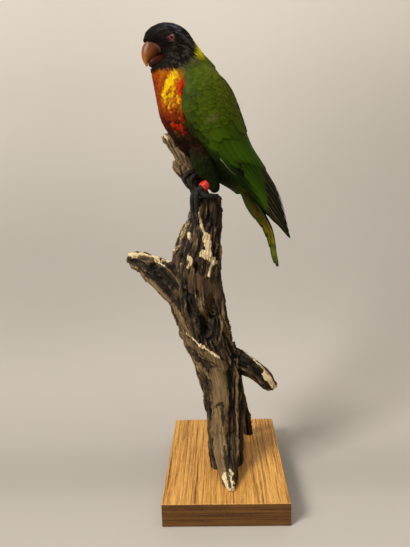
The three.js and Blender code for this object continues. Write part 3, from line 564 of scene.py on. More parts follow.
# dark strokes are painted shade: in the grooves, hollows and knots and down the trunk's shaded sides
woodStrokes = [
    brush([(196, 203), (199, 214), (202, 226), (206, 238)], 1.7, 0.7, pale=1),
    brush([(206, 236), (208, 246), (209, 255)], 4, 0.6, pale=1),
    brush([(203, 253), (209, 257), (214, 262)], 4.6, 0.8, pale=1),
    brush([(213, 262), (210, 269), (209, 276)], 2, 0.6, pale=0.85),
    # these two strokes on the trunk's left edge: the wood's own pale tan with a painted highlight
    brush([(190, 216), (186, 228), (181, 240), (174, 253)], 2.4, 1.2, pale=0.45, tan=1),
    brush([(189, 234), (190, 241)], 1.9, 0.4, pale=1),
    brush([(194, 218), (192, 230), (189, 246), (184, 256)], 3, -1.6, dark=0.95),
    brush([(199, 232), (200, 246), (197, 256)], 2.6, -1.2, dark=0.9),
    brush([(214, 202), (216, 224), (217, 244)], 7.5, -0.4, dark=0.6),
    brush([(127, 254), (136, 253), (148, 255), (160, 257), (169, 261)], 3.4, 0.5, pale=1),
    brush([(128, 262), (142, 266), (152, 271), (160, 280)], 3, -1.6, dark=1),
    brush([(156, 266), (165, 275), (174, 286)], 6, -3.4, dark=1),
    brush([(166, 262), (176, 272), (184, 284)], 3.6, -2.4, dark=1),
    brush([(158, 268), (166, 278), (172, 286)], 1.3, 1.6, pale=0.3, tan=1),
    brush([(166, 266), (173, 274), (180, 285)], 1.2, 1.4, pale=0.3, tan=1),
    brush([(133, 266), (145, 277), (156, 287), (170, 301), (180, 315),
           (189, 334)], 3.4, 1.8, tan=1, sleek=0.6),
    brush([(140, 268), (153, 279), (165, 291), (176, 304), (186, 320)], 1.5, -1.2, dark=1),
    brush([(181, 258), (185, 264)], 3.4, -2.4, dark=1),
    brush([(189, 257), (191, 262), (188, 267)], 2, 2, pale=0.9),
    brush([(197, 267), (203, 273)], 3.4, -2.4, dark=1),
    brush([(196, 280), (206, 288), (214, 294)], 9, 0.8, ruddy=0.9, sleek=0.7),
    brush([(217, 310), (219, 314)], 2.4, -1.4, dark=1),
    brush([(183, 293), (190, 305), (197, 317), (203, 328), (208, 338)], 5.2, -5, dark=1),
    brush([(190, 296), (197, 308), (204, 320), (210, 330)], 2.4, -2.6, dark=1),
    brush([(186, 298), (192, 310), (198, 322), (203, 334)], 1.1, 2.4, tan=0.8),
    brush([(196, 296), (203, 309), (209, 321)], 1.4, 1.4, tan=0.8),
    brush([(222, 298), (223, 320), (219, 342)], 1.6, 0.8, tan=0.7),
    brush([(214, 300), (216, 320), (214, 340)], 1.8, -1.2, dark=0.9),
    brush([(183, 334), (194, 345), (204, 353), (214, 360), (224, 367)], 5.6, 3, tan=0.5, sleek=0.9),
    brush([(186, 331), (197, 342), (208, 350), (219, 357)], 1.2, 0.6, pale=0.7, tan=1),
    brush([(188, 343), (199, 352), (210, 360), (220, 367)], 0.9, -0.9, dark=0.8),
    brush([(188, 349), (197, 358), (206, 368)], 2.2, -2.4, dark=1),
    brush([(193, 358), (201, 367), (209, 377)], 2.6, 1.6, tan=0.9, sleek=0.8),
    brush([(199, 372), (205, 382), (207, 396)], 1.8, -1.2, dark=0.9),
    brush([(219, 372), (219, 400), (219, 436), (220, 470)], 9.5, 0.4, tan=1, sleek=1),
    brush([(206, 376), (206, 410), (206, 462)], 2.4, -0.4, dark=0.85),
    brush([(233, 340), (232, 370), (231, 410), (231, 462)], 2, -1.8, dark=1),
    brush([(238, 342), (237, 376), (237, 420), (237, 455)], 1.4, 1.4, tan=0.9),
    brush([(241, 352), (240, 390), (240, 440)], 1.5, -1.2, dark=1),
    brush([(236, 348), (248, 360), (258, 372)], 6.5, 0, dark=0.8),
    brush([(244, 352), (254, 360), (264, 370), (274, 384)], 1.9, 0.7, pale=1),
    brush([(264, 374), (270, 380), (275, 388)], 3.6, 0.3, pale=1),
    brush([(266, 383), (270, 389)], 2, -1.6, dark=0.9),
    brush([(248, 366), (256, 376), (262, 385)], 1.1, 0.8, tan=0.7),
    brush([(162, 134), (164, 137)], 2.4, 0, pale=0.6, tan=1),
    brush([(165, 138), (170, 150), (176, 162)], 7.5, 0, pale=0.24, tan=1),
    brush([(178, 150), (184, 162), (190, 174)], 4, 0.6, tan=0.8),
    brush([(163, 136), (168, 147), (174, 158)], 0.9, -0.9, dark=0.9),
    brush([(168, 138), (173, 148), (179, 160)], 0.9, -0.9, dark=0.9),
    brush([(172, 160), (174, 166), (175, 174)], 4.6, 0.8, pale=0.26, tan=1),
    brush([(180, 166), (183, 178), (188, 190)], 1.6, -0.8, dark=0.8),
    brush([(196, 198), (193, 208), (191, 222)], 2.6, 0, dark=0.9),
    brush([(230, 470), (232, 474)], 2.4, 0.8, pale=0.8),
    brush([(226, 477), (229, 484), (229, 492)], 5.6, 0, pale=1),
    brush([(248, 402), (250, 416), (253, 430)], 2.6, 0.4, tan=0.8),
]


def distanceToPath(points, path):
    nearest = np.full(len(points), 1e9)
    path = np.asarray(path, float)
    for a, b in zip(path[:-1], path[1:]):
        run = b - a
        u = np.clip(((points - a) @ run) / max(run @ run, 1e-9), 0, 1)
        nearest = np.minimum(nearest, np.linalg.norm(points - a - u[:, None] * run, axis=1))
    return nearest


def smoothLine(path, count):
    path = np.asarray(path, float)
    at = np.linspace(0, len(path) - 1, count)
    return np.stack([smoothly(np.arange(len(path)), path[:, k], at) for k in range(3)], 1)


def travelAlong(line):
    return np.concatenate([[0], np.cumsum(np.linalg.norm(np.diff(line, axis=0), axis=1))])


def noiseAt(points, octaves=4):
    return np.array([noise.fractal(Vector(p), 0.9, 2.1, octaves) for p in points])


driftSet = {
    "voxel": 0.93, "smooth": 6, "fibre": 1.5, "ridge": 1.3, "split": 1.6, "lump": 1.4, "pit": 1.5,
    "deepest": -7, "highest": 3.2, "boardTop": 25.0, "steps": 60, "limbGap": 400,
    "grips": [(-14, -22, 318), (-4, -14, 318), (-22, -2, 326)], "gripFade": (5, 12),
    "strokeEdge": (0.55, 1.15), "wobble": (1.6, 0.4), "jag": (1.4, 0.35),
}
woodTones = {
    "grain": ((0.35, 18, 12, 7), (0.44, 54, 40, 24), (0.53, 98, 76, 48), (0.61, 134, 109, 72),
              (0.7, 176, 150, 104)),
    "ruddy": ((0.3, 46, 32, 18), (0.5, 82, 60, 36), (0.7, 112, 86, 54)),
    "tan": ((0.3, 62, 47, 28), (0.43, 100, 79, 49), (0.56, 128, 104, 68), (0.7, 160, 134, 92)),
    "pale": ((0.32, 150, 118, 74), (0.5, 224, 198, 148), (0.7, 250, 232, 190)),
    # dark: painted shade for the grooves, hollows and shaded sides
    "dark": ((0.4, 10, 7, 4), (0.7, 54, 40, 25)),
    "patch": (126, 112, 96),
}


def grainPlaces(points):
    # each point's place across and along its own limb, so that the grain follows the wood
    steps = driftSet["steps"]
    best = np.full(len(points), 1e9)
    place = np.zeros((len(points), 3))
    start = 0
    for limb in woodLimbs.values():
        line = smoothLine(limb["line"], steps)
        wide = spread(limb["wide"], steps)
        travel = travelAlong(line)
        tree = KDTree(steps)
        for k, p in enumerate(line):
            tree.insert(p, k)
        tree.balance()
        index = np.array([tree.find(p)[1] for p in points])
        offset = points - line[index]
        along = unit(np.gradient(line, axis=0))[index]
        lengthwise = (offset * along).sum(1)
        offset = offset - along * lengthwise[:, None]
        radius = wide[index]
        beyond = 0.3 * np.maximum(0, np.abs(lengthwise) - 3)
        share = np.linalg.norm(offset, axis=1) / radius + beyond / radius
        across = np.asarray(limb["across"], float)
        right = unit(across - along * (along @ across)[:, None])
        out = np.cross(along, right)
        flat = unit(np.stack([(offset * right).sum(1), (offset * out).sum(1)], 1)) * radius[:, None] ** 0.9
        here = np.stack([flat[:, 0], flat[:, 1], travel[index] + lengthwise + start], 1)
        nearer = share < best
        best[nearer] = share[nearer]
        place[nearer] = here[nearer]
        start += driftSet["limbGap"]
    return place


def buildDriftwood():
    s = driftSet
    wood = cadCopy("driftwoodCarved", "driftwood")
    remeshed(wood, s["voxel"], s["smooth"])
    tree = bvhOf(wood)
    points = pointsOf(wood) / mm
    normals = normalsOf(wood)
    place = grainPlaces(points)
    rise = np.zeros(len(points))
    stainAndPaintedLight = {name: np.zeros(len(points)) for name in ("pale", "dark", "tan", "ruddy", "sleek")}
    wobble = noiseAt(points / 6.0, 3)
    jag = noiseAt(points * (0.5, 0.5, 0.16) + 70, 3)
    for stroke in woodStrokes:
        pixels = smoothLine([(*p, 0) for p in stroke["path"]], 12)[:, :2]
        line = smoothLine(seenAt(tree, pixels) / mm, 30)
        wide = stroke["wide"]
        reach = distanceToPath(points, line) + min(s["wobble"][0], s["wobble"][1] * wide) * wobble
        reach = reach + min(s["jag"][0], s["jag"][1] * wide) * jag
        share = 1 - blend(*s["strokeEdge"], reach / wide)
        rise += share * stroke["rise"]
        for name, amount in stroke["stainAndPaintedLight"].items():
            np.maximum(stainAndPaintedLight[name], share * amount, out=stainAndPaintedLight[name])
    calm = 1 - 0.85 * stainAndPaintedLight["sleek"]
    fibre = noiseAt(place * (0.42, 0.42, 0.035), 4)
    ridge = 0.5 - np.abs(noiseAt(place * (0.3, 0.3, 0.02) + 14, 3)) * 2.4
    split = np.clip(0.2 - np.abs(noiseAt(place * (0.16, 0.16, 0.012) + 30, 3)), 0, 1) * 5
    pits = np.clip(noiseAt(points * 0.22 + 9, 3) - 0.25, 0, 1)
    relief = s["fibre"] * fibre + s["ridge"] * ridge - s["split"] * split - s["pit"] * pits
    relief *= 0.4 + 0.8 * blend(-0.25, 0.3, noiseAt(points * (0.05, 0.05, 0.025) + 40, 3))
    rise += calm * (relief + s["lump"] * noiseAt(points * 0.055, 3)) + (1 - calm) * 0.25 * fibre
    floor = blend(s["boardTop"] + 0.2, s["boardTop"] + 3, points[:, 2])
    nearFeet = 1 - blend(*s["gripFade"], distanceToPath(points, s["grips"]))
    rise = np.clip(rise, s["deepest"], s["highest"]) * (1 - 0.85 * nearFeet) * floor
    points = points + normals * rise[:, None]
    points[:, 2] = np.maximum(points[:, 2], s["boardTop"])
    setPoints(wood, points * mm)
    # painted shade: the dark strokes and every place carved more than about a millimetre deep
    hollowShade = np.maximum(stainAndPaintedLight["dark"], blend(-1.2, -4.0, rise))
    giveValues(wood, "grain", place * mm)
    giveValues(wood, "stainAndPaintedLight", np.stack([stainAndPaintedLight["pale"], hollowShade, stainAndPaintedLight["tan"]], 1))
    giveValues(wood, "relief", np.clip(0.5 + 0.26 * relief * calm, 0, 1))
    giveValues(wood, "ruddy", stainAndPaintedLight["ruddy"])
    finishPiece(wood, "driftwood", woodMaterial(), "driftwood")


def overlaid(tree, tone, share, stops, source, kind):
    return mixNode(tree, "MIX", ramp(tree, share, *stops), tone, tones(tree, source, *woodTones[kind]))


def ragged(tree, share, mottle, amount):
    # roughens the border of the stains and of the painted shade
    return maths(tree, "ADD", share, maths(tree, "MULTIPLY", maths(tree, "SUBTRACT", mottle, 0.5), amount))


def woodMaterial():
    material, tree = newMaterial("driftwood")
    grain, place = attribute(tree, "grain"), objectPlace(tree)
    stainAndPaintedLight = splitNode(tree, attribute(tree, "stainAndPaintedLight"))
    streak = stretchedNoise(tree, grain, (700, 700, 34), 5.0, 0.7, 0.3)
    fine = stretchedNoise(tree, grain, (1500, 1500, 60), 3.0, 0.6)
    patch = noiseNode(tree, place, 60.0, 4.0, 0.6, 0.5)
    mottle = noiseNode(tree, place, 380.0, 4.0, 0.7)
    # painted shade and light: the tone follows the relief as well as the grain's streaks, darker in splits
    # and pits, lighter on ridges
    relief = maths(tree, "MULTIPLY", attribute(tree, "relief", "Fac"), 0.42)
    height = maths(tree, "ADD", relief, maths(tree, "MULTIPLY", streak, 0.58))
    tone = tones(tree, height, *woodTones["grain"])
    worn = ramp(tree, patch, (0.4, 0.0), (0.62, 0.85))
    tone = mixNode(tree, "MULTIPLY", worn, tone, colour(*woodTones["patch"]))
    ruddy = tones(tree, streak, *woodTones["ruddy"])
    tone = mixNode(tree, "MIX", attribute(tree, "ruddy", "Fac"), tone, ruddy)
    tone = overlaid(tree, tone, stainAndPaintedLight["Z"], ((0.2, 0.0), (0.7, 0.92)), streak, "tan")
    pale = ragged(tree, stainAndPaintedLight["X"], mottle, 1.1)
    tone = overlaid(tree, tone, pale, ((0.45, 0.0), (0.55, 0.95)), fine, "pale")
    # painted shade over the grooves, hollows and shaded sides
    dark = ragged(tree, stainAndPaintedLight["Y"], mottle, 0.5)
    tone = overlaid(tree, tone, dark, ((0.3, 0.0), (0.75, 0.9)), streak, "dark")
    bump = bumpNode(tree, fine, 0.5, 0.0005, bumpNode(tree, streak, 0.9, 0.0016))
    return finished(material, tone, bump, Roughness=0.75, Specular_IOR_Level=0.25)


buildDriftwood()
print("driftwood")

# Markings: one function gives the colour of any place on the bird, for skin and coat alike

hoodOutline = [(70, 116), (26, 116.5), (13, 124.5), (5.5, 134), (8.2, 151), (12, 176), (80, 176)]
tintSet = {
    "hood": (26, 20, 15), "crown": (112, 112, 130), "cheek": (112, 100, 86), "nape": (236, 218, 10),
    "mantle": (94, 98, 6), "back": (62, 84, 6), "orange": (186, 106, 3), "redOrange": (140, 44, 3),
    "yellow": (250, 202, 3), "red": (200, 40, 8), "maroon": (92, 16, 4), "navy": (18, 14, 10),
    "belly": (26, 32, 5), "thigh": (28, 36, 4), "vent": (74, 80, 10), "shoulderShade": (56, 72, 22),
    "wing": (72, 88, 4), "flight": (64, 98, 3), "dusk": (36, 30, 22), "blueBlack": (22, 30, 18),
    "rim": (126, 134, 44), "tailTop": (70, 104, 6), "tailUnder": (176, 124, 12), "tan": (128, 106, 70),
}
tints = {name: colour(*value) for name, value in tintSet.items()}


def outlineDistance(points, outline):
    # the distance to a closed outline, above zero inside it
    outline = np.asarray(outline, float)
    inside = np.zeros(len(points), bool)
    for a, b in zip(outline, np.roll(outline, -1, axis=0)):
        run = b - a
        crosses = (a[1] > points[:, 1]) != (b[1] > points[:, 1])
        slope = run[0] * (points[:, 1] - a[1]) / np.where(run[1] == 0, 1e-9, run[1]) + a[0]
        inside ^= crosses & (points[:, 0] < slope)
    nearest = distanceToPath(points, [*outline, outline[0]])
    return np.where(inside, nearest, -nearest)


def dab(tint, share, wide, path):
    # a stroke of colour on the breast or belly in the bird's frame, alike on both sides
    return {"tint": tint, "share": share, "wide": wide, "path": path}


breastStrokes = [
    dab("redOrange", 0.8, 4.8, [(45.6, 5, 112), (44.2, 4, 97), (41.8, 1.5, 81)]),
    dab("redOrange", 0.5, 3, [(37.5, 14.5, 112), (41, 10.5, 103)]),
    dab("yellow", 1, 3.4, [(31.5, 20.5, 114), (35.2, 18.6, 106), (38.6, 15.5, 99), (40.6, 12, 93)]),
    dab("yellow", 0.65, 2.3, [(33.5, 20.6, 97), (35.5, 18.4, 90), (37.6, 14.9, 83)]),
    dab("red", 1, 3.6, [(24.6, 26.6, 109), (26.5, 25.6, 101), (28.4, 24.6, 95)]),
    dab("yellow", 0.7, 2.2, [(29.6, 24, 92), (31, 22.6, 84)]),
    dab("maroon", 0.7, 2.6, [(31, 22.2, 82), (27.5, 24, 77)]),
    dab("redOrange", 0.85, 4, [(38.5, 8, 75), (32, 18, 74)]),
    dab("maroon", 0.9, 5, [(36.1, 0.4, 66.4), (37.6, 3, 72)]),
    dab("red", 0.9, 3.3, [(33, 12.5, 67.5), (26, 18.6, 63.6)]),
    dab("red", 0.7, 1.9, [(25, 14.5, 58.5), (22.5, 15.5, 56)]),
    dab("vent", 0.5, 3, [(28.5, 10, 60), (26, 11, 56)]),
]


def markings(points):
    x, y, z = points[:, 0], np.abs(points[:, 1]), points[:, 2]
    mirrored = np.stack([x, y, z], 1)
    along, out = points @ spine, points @ chest
    wobble = noiseAt(points * 0.12, 3)
    fine = noiseAt(points * 0.45 + 50, 2)
    plume = noiseAt(points * (0.3, 0.3, 0.12) + 90, 3)
    hood = outlineDistance(np.stack([x, z], 1), hoodOutline) + 1.2 * wobble
    tint = mixed(tints["mantle"], tints["back"], blend(104, 50, along + 10 * wobble))
    # painted shade: the body's side by the wing's front, darker and bluer
    tint = mixed(tint, tints["shoulderShade"], 0.7 * blend(12, 24, y + 3 * wobble) * blend(80, 108, along))
    nape = blend(-10.5, -6.5, hood) * blend(112, 122, along) * blend(-6, -14, out) * blend(126, 131, z)
    tint = mixed(tint, tints["nape"], nape)
    front = blend(-23, -13, out + 3.0 * wobble + 0.14 * (along - 80)) * blend(33, 30, y - 0.25 * (z - 80))
    ruddy = np.clip(0.1 + 1.7 * plume + 0.45 * blend(88, 74, z), 0, 1)
    breast = mixed(tints["orange"], tints["redOrange"], ruddy)
    low = blend(77, 60, z - 0.45 * (x - 20) + 6 * wobble) * blend(-46, -36, out)
    belly = mixed(tints["navy"], tints["belly"], np.clip(0.5 + 1.5 * fine, 0, 1))
    belly = mixed(belly, tints["maroon"], 0.5 * blend(54, 66, z) * np.clip(0.5 + 2 * wobble, 0, 1))
    breast = mixed(breast, belly, low)
    for stroke in breastStrokes:
        reach = distanceToPath(mirrored, stroke["path"]) / stroke["wide"] + 0.25 * wobble + 0.32 * plume
        breast = mixed(breast, tints[stroke["tint"]], stroke["share"] * (1 - blend(0.7, 1.2, reach)))
    tint = mixed(tint, breast, np.maximum(front, low * blend(30, 25, y)))
    tint = mixed(tint, tints["thigh"], blend(44, 34, z) * blend(-44, -34, out))
    tint = mixed(tint, tints["vent"], 0.8 * blend(4, -14, along) * blend(-44, -34, out - 0.35 * along))
    crown = np.clip(0.2 + 1.6 * fine, 0, 1) * blend(150, 160, z) * blend(44, 30, x)
    head = mixed(tints["hood"], tints["crown"], 0.5 * crown)
    return mixed(tint, head, blend(-0.7, 0.7, hood))


# Wing envelope and the outline of each closed wing on it

envelope = np.array([
    (125, -30, 27, 22.5), (105, -31, 32.5, 28.3), (84, -30, 36.8, 31.3), (65, -31, 35.3, 31.3),
    (43, -34, 31, 29), (24, -38, 27.5, 26), (5, -45, 25, 22), (-10, -51, 22.5, 19),
    (-30, -57, 19.5, 16), (-50, -61, 15.5, 13), (-70, -66, 9, 8.5), (-90, -69, 4, 5),
], float)
wingEdge = np.array([
    (112, 106, 58, -0.4), (104, 114, 44, -1.8), (90, 122, 30, -2.6), (65, 133, 18, -2.6),
    (45, 130, 8, -1.9), (24, 129, 2, -0.6), (-4, 130, 0, 0), (-26, 122, 0, 0), (-50, 112, 0, 0),
    (-70, 108, 0, 0), (-89, 106, 0, 0),
], float)


def shell(column, along):
    return smoothly(envelope[:, 0], envelope[:, column], along)


def edge(column, along):
    return smoothly(wingEdge[:, 0], wingEdge[:, column], along)


wingTopLine = np.array([
    (114, 0.2), (110, 1.2), (104, 3.0), (96, 4.7), (86, 5.3), (76, 5.3), (66, 5.0), (54, 4.6),
    (40, 4.2), (20, 3.3), (0, 2.5), (-20, 2.0), (-50, 1.5), (-90, 1.0),
])


def wingTop(along, angle):
    # how far the closed wing's outer face stands off the envelope, running out towards both edges
    low, high = edge(1, along), edge(2, along)
    near = blend(10, 40, along)
    lower = 1 - 0.8 * near * (1 - blend(low + 3, low - 11, angle))
    upper = 1 - 0.9 * near * (1 - blend(high - 2, high + 16, angle))
    return smoothly(wingTopLine[:, 0], wingTopLine[:, 1], along) * lower * upper


def edgeDraw(along):
    # degrees by which the breast's feathers hide the wing's front edge
    return 7 * blend(62, 80, along) + 5 * blend(88, 104, along)


def onWing(along, angle, height, side):
    turn = np.radians(angle)
    out = shell(1, along) - (shell(2, along) + height) * np.cos(turn)
    return onBody(along, out, side * (shell(3, along) + height) * np.sin(turn))


def wingPlace(points):
    # the way up the body and the angle round it, the inverse of onWing
    along, out, left = points @ spine, points @ chest, np.abs(points[:, 1])
    turn = np.arctan2(left / shell(3, along), (shell(1, along) - out) / shell(2, along))
    return along, np.degrees(turn)


forearmLine = [(111, -0.4), (103, 1.2), (94, 2.8), (86, 3.2), (80, 3.0), (72, 2.8), (66, 2.0),
               (56, 1.1), (50, 0.3), (44, -1.2)]


def loftFaces(rows, sides):
    faces = []
    for r in range(rows - 1):
        for k in range(sides):
            n = (k + 1) % sides
            faces.append((r * sides + k, r * sides + n, (r + 1) * sides + n, (r + 1) * sides + k))
    return faces


def tubeObject(name, tubes):
    points, faces, start = [], [], 0
    for rings in tubes:
        rows, sides = rings.shape[:2]
        caps = np.stack([rings[0].mean(0), rings[-1].mean(0)])
        points.append(np.concatenate([rings.reshape(-1, 3), caps]))
        index = np.array(loftFaces(rows, sides)) + start
        faces += [(a, b, c) for a, b, c, d in index] + [(a, c, d) for a, b, c, d in index]
        first, last, top = start + rows * sides, start + rows * sides + 1, start + (rows - 1) * sides
        faces += [(first, start + (k + 1) % sides, start + k) for k in range(sides)]
        faces += [(last, top + k, top + (k + 1) % sides) for k in range(sides)]
        start += rows * sides + 2
    obj = meshOf(name, toWorld(np.concatenate(points)), faces)
    editedAll(obj, bpy.ops.mesh.normals_make_consistent, inside=False)
    return obj


def forearm(side, count=8):
    # a flat bolster under the wing's front part, thin at both edges
    rings = []
    k = np.arange(count)
    for at, top in forearmLine:
        base = float(edge(3, at)) - 1.2
        angles = np.linspace(float(edge(1, at)) - 1, float(edge(2, at)) + 1, count)
        lift = np.minimum(1, np.minimum(0.35 + k / 2, 0.25 + (count - 1 - k) / 2))
        inner = onWing(at, angles, base, side)
        outer = onWing(at, angles, base + (top - base) * lift, side)[::-1]
        rings.append(np.concatenate([inner, outer]))
    return tubeObject("forearm", [np.array(rings)])


# Skin: the flesh nodes and both forearms as one closed surface, inside the coat's depth

skinSet = {
    "voxel": 0.9, "smooth": 10, "body": 1.0, "head": 0.75, "thigh": 1.0,
    "swells": [{"pixel": (182, 149), "by": 4.2, "reach": 9}, {"pixel": (214, 188), "by": 2.6, "reach": 5}],
}
eyeSet = {"forward": 31.6, "side": 13.3, "up": 144.2, "radius": 4.6,
          "lid": 3.75, "lidThick": 0.75, "lidStand": 2.75, "gaze": (0.16, 1.0, 0.04)}


def eyeCentre(side):
    return np.array([eyeSet["forward"], side * eyeSet["side"], eyeSet["up"]])


def eyeDistance(points):
    centre = eyeCentre(1)
    return np.hypot(points[:, 0] - centre[0], points[:, 2] - centre[2]) + 50 * (np.abs(points[:, 1]) < 6)


def headShare(points):
    return blend(-6, 2, outlineDistance(points[:, [0, 2]], hoodOutline))


def coatDepth(points):
    head = headShare(points)
    depth = skinSet["body"] * (1 - head) + skinSet["head"] * head
    depth = np.where(points[:, 2] < 40, skinSet["thigh"], depth)
    bare = blend(3.2, 7, eyeDistance(points)) * blend(0.6, 4, billDistance(points))
    return depth * (0.15 + 0.85 * bare)


billTree = bvhOf(cadNodes["bill_upper"])
lowerTree = bvhOf(cadNodes["bill_lower"])


def billDistance(points):
    world = toWorld(points)
    near = np.full(len(points), 99.0)
    for k in np.nonzero(points[:, 0] > 20)[0]:
        place = Vector(world[k])
        near[k] = min(billTree.find_nearest(place)[3], lowerTree.find_nearest(place)[3]) / mm
    return near


fleshNodes = ("head", "neck", "breast", "belly", "mantle", "thigh_left", "thigh_right")


def buildSkin():
    flesh = joined(cadCopy("skin", *fleshNodes), forearm(1), forearm(-1))
    remeshed(flesh, skinSet["voxel"], skinSet["smooth"])
    points = toBird(pointsOf(flesh))
    depth = coatDepth(points)
    flank = bvhOf(flesh)
    for swell in skinSet["swells"]:
        near = (points - toBird(seenAt(flank, [swell["pixel"]], 520.0))) / swell["reach"]
        depth -= swell["by"] * np.exp(-(near**2).sum(1))
    setPoints(flesh, pointsOf(flesh) - normalsOf(flesh) * (depth * mm)[:, None])
    giveCoat(flesh, markings(points))
    finishPiece(flesh, "hood", skinMaterial(), *fleshNodes)
    return flesh


def skinMaterial():
    material, tree = newMaterial("plumageSkin")
    down = noiseNode(tree, objectPlace(tree), 900.0, 4.0, 0.6)
    shade = ramp(tree, down, (0.3, 0.35), (0.7, 1.0))
    tone = mixNode(tree, "MULTIPLY", 0.8, attribute(tree, "coat", "Color"), shade)
    bump = bumpNode(tree, down, 0.6, 0.0006)
    return finished(material, tone, bump, Roughness=0.85, Specular_IOR_Level=0.2)


skin = buildSkin()
skinTree = bvhOf(skin)
print("skin")

# Feathers: each is one blank, a closed thin lens of few faces, copied and bent to its place


def rowPlaces(count):
    return 1 - (1 - np.linspace(0, 1, count)) ** 1.7


def featherBlank(across, along):
    bpy.ops.mesh.primitive_grid_add(x_subdivisions=across, y_subdivisions=along, size=2)
    sheet = bpy.context.object
    points = pointsOf(sheet)
    faces = np.array([list(p.vertices) for p in sheet.data.polygons])
    bpy.data.objects.remove(sheet)
    x, row = points[:, 0], np.rint((points[:, 1] + 1) / 2 * along).astype(int)
    v = rowPlaces(along + 1)[row]
    rim = (np.abs(x) > 0.999) | (v < 0.001) | (v > 0.999)
    inner = ~rim
    below = np.arange(len(points))
    below[inner] = len(points) + np.arange(inner.sum())
    return {
        "x": np.concatenate([x, x[inner]]), "v": np.concatenate([v, v[inner]]),
        "row": np.concatenate([row, row[inner]]),
        "top": np.concatenate([np.where(rim, 0.0, 1.0), np.full(inner.sum(), -1.0)]),
        "faces": np.concatenate([faces, below[faces][:, ::-1]]), "columns": across + 1, "rows": along + 1,
    }


def featherMesh(name, blank, places, colours, vane, bakeAt, bakeSize):
    count, size = places.shape[:2]
    faces = (blank["faces"][None] + (np.arange(count) * size)[:, None, None]).reshape(-1, 4)
    obj = meshOf(name, places.reshape(-1, 3), faces)
    giveCoat(obj, np.clip(colours, 0.002, 1).reshape(-1, 3))
    giveValues(obj, "vane", vane.reshape(-1, 3))
    ends = np.empty(len(obj.data.edges) * 2, np.int32)
    obj.data.edges.foreach_get("vertices", ends)
    rim = (blank["top"] == 0)[ends.reshape(-1, 2) % size].all(1)
    obj.data.attributes.new("sharp_edge", "BOOLEAN", "EDGE").data.foreach_set("value", rim)
    bake = obj.data.uv_layers.new(name="OFBake")
    patch = np.stack([blank["x"] * 0.5, blank["v"] - 0.5], 1) * bakeSize
    uv = (bakeAt[:, None] + patch[None]).reshape(-1, 2)[faces.ravel()]
    bake.data.foreach_set("uv", uv.astype(np.float32).ravel())
    return obj


def featherMaterial(name, rough, streakShare):
    # fine barbs that run from the shaft out and towards the tip, and lengthwise streaks
    material, tree = newMaterial(name)
    vane = attribute(tree, "vane")
    streak = stretchedNoise(tree, vane, (2.6, 0.22, 1.0), 3.0, 0.6)
    split = splitNode(tree, vane)
    slant = maths(tree, "MULTIPLY", maths(tree, "ABSOLUTE", split["X"]), -1.1)
    slant = maths(tree, "ADD", split["Y"], slant)
    barbs = maths(tree, "SINE", maths(tree, "MULTIPLY", slant, 16.0))
    shade = ramp(tree, streak, (0.32, 0.35), (0.68, 1.0))
    tone = mixNode(tree, "MULTIPLY", streakShare, attribute(tree, "coat", "Color"), shade)
    bump = bumpNode(tree, barbs, 0.25, 0.00008, bumpNode(tree, streak, 0.5, 0.0003))
    return finished(material, tone, bump, Roughness=rough, Specular_IOR_Level=0.06)


softFeather = featherMaterial("softFeather", 0.75, 0.6)
firmFeather = featherMaterial("firmFeather", 0.6, 0.45)
featherShapes = {
    "round": ([0, 0.2, 0.5, 0.78, 0.9, 0.97, 1], [0.4, 0.8, 1.0, 0.96, 0.8, 0.55, 0.25]),
    "narrow": ([0, 0.25, 0.5, 0.8, 0.93, 1], [0.5, 0.95, 1.0, 0.7, 0.4, 0.1]),
    "long": ([0, 0.1, 0.5, 0.82, 0.93, 0.98, 1], [0.8, 0.95, 1.0, 0.78, 0.5, 0.24, 0.03]),
    "broad": ([0, 0.15, 0.5, 0.8, 0.92, 0.98, 1], [0.7, 0.9, 1.0, 0.95, 0.74, 0.4, 0.1]),
}


def featherWidth(v, kind):
    return np.interp(v, *featherShapes[kind])


# The coat: how its feathers lie, how large they are and where each one grows

coatSet = {
    "bodyLength": 10.5, "bodyHalf": 2.6, "faceLength": 2.8, "longer": 5.2, "faceHalf": 0.42, "broader": 0.26,
    "apart": 0.68, "closest": 0.55, "sparser": 0.36,
    "length": (0.85, 1.15), "half": (0.88, 1.1), "skew": 0.12, "tipLift": (0.85, 1.25), "cup": 0.035,
    "thick": 0.07, "fringe": 0.016, "pull": 0.05, "wrap": 1.2, "jitter": 0.6, "shade": 0.13, "hue": 0.05,
    "cell": 3.0, "headTries": 90000, "bodyTries": 60000, "crest": (50.0, 0, 138.0), "bandGap": 6.5,
}


def lieAt(points):
    away = unit(points - np.array(coatSet["crest"])) + np.array([0, 0, -0.35])
    down = np.broadcast_to(-spine, points.shape)
    legs = np.broadcast_to(np.array([-0.12, 0, -1.0]), points.shape)
    lie = mixed(down, away, headShare(points))
    return mixed(lie, legs, blend(34, 24, points[:, 2]) * blend(-30, -20, points @ chest))


def coatSizes(points):
    head = headShare(points)
    face = blend(2, 18, billDistance(points)) * blend(3, 12, eyeDistance(points))
    along, out = points @ spine, points @ chest
    s = coatSet
    length = s["bodyLength"] * (1 - head) + (s["faceLength"] + s["longer"] * face) * head
    half = s["bodyHalf"] * (1 - head) + (s["faceHalf"] + s["broader"] * face) * head
    neck = (1 - head) * blend(100, 114, along) * blend(0, -16, out)
    length = length * (1 - 0.25 * neck)
    half = half * (1 - 0.62 * neck)
    thigh = blend(48, 30, points[:, 2]) * blend(-34, -22, out)
    length, half = length * (1 - 0.3 * thigh), half * (1 - 0.5 * thigh)
    mantle = (1 - head) * (1 - neck) * blend(-24, -34, out) * blend(60, 70, along)
    length, half = length * (1 + 0.2 * mantle), half * (1 + 0.15 * mantle)
    spacing = np.maximum(half * s["apart"], s["closest"] + s["sparser"] * face)
    return spacing, length, half


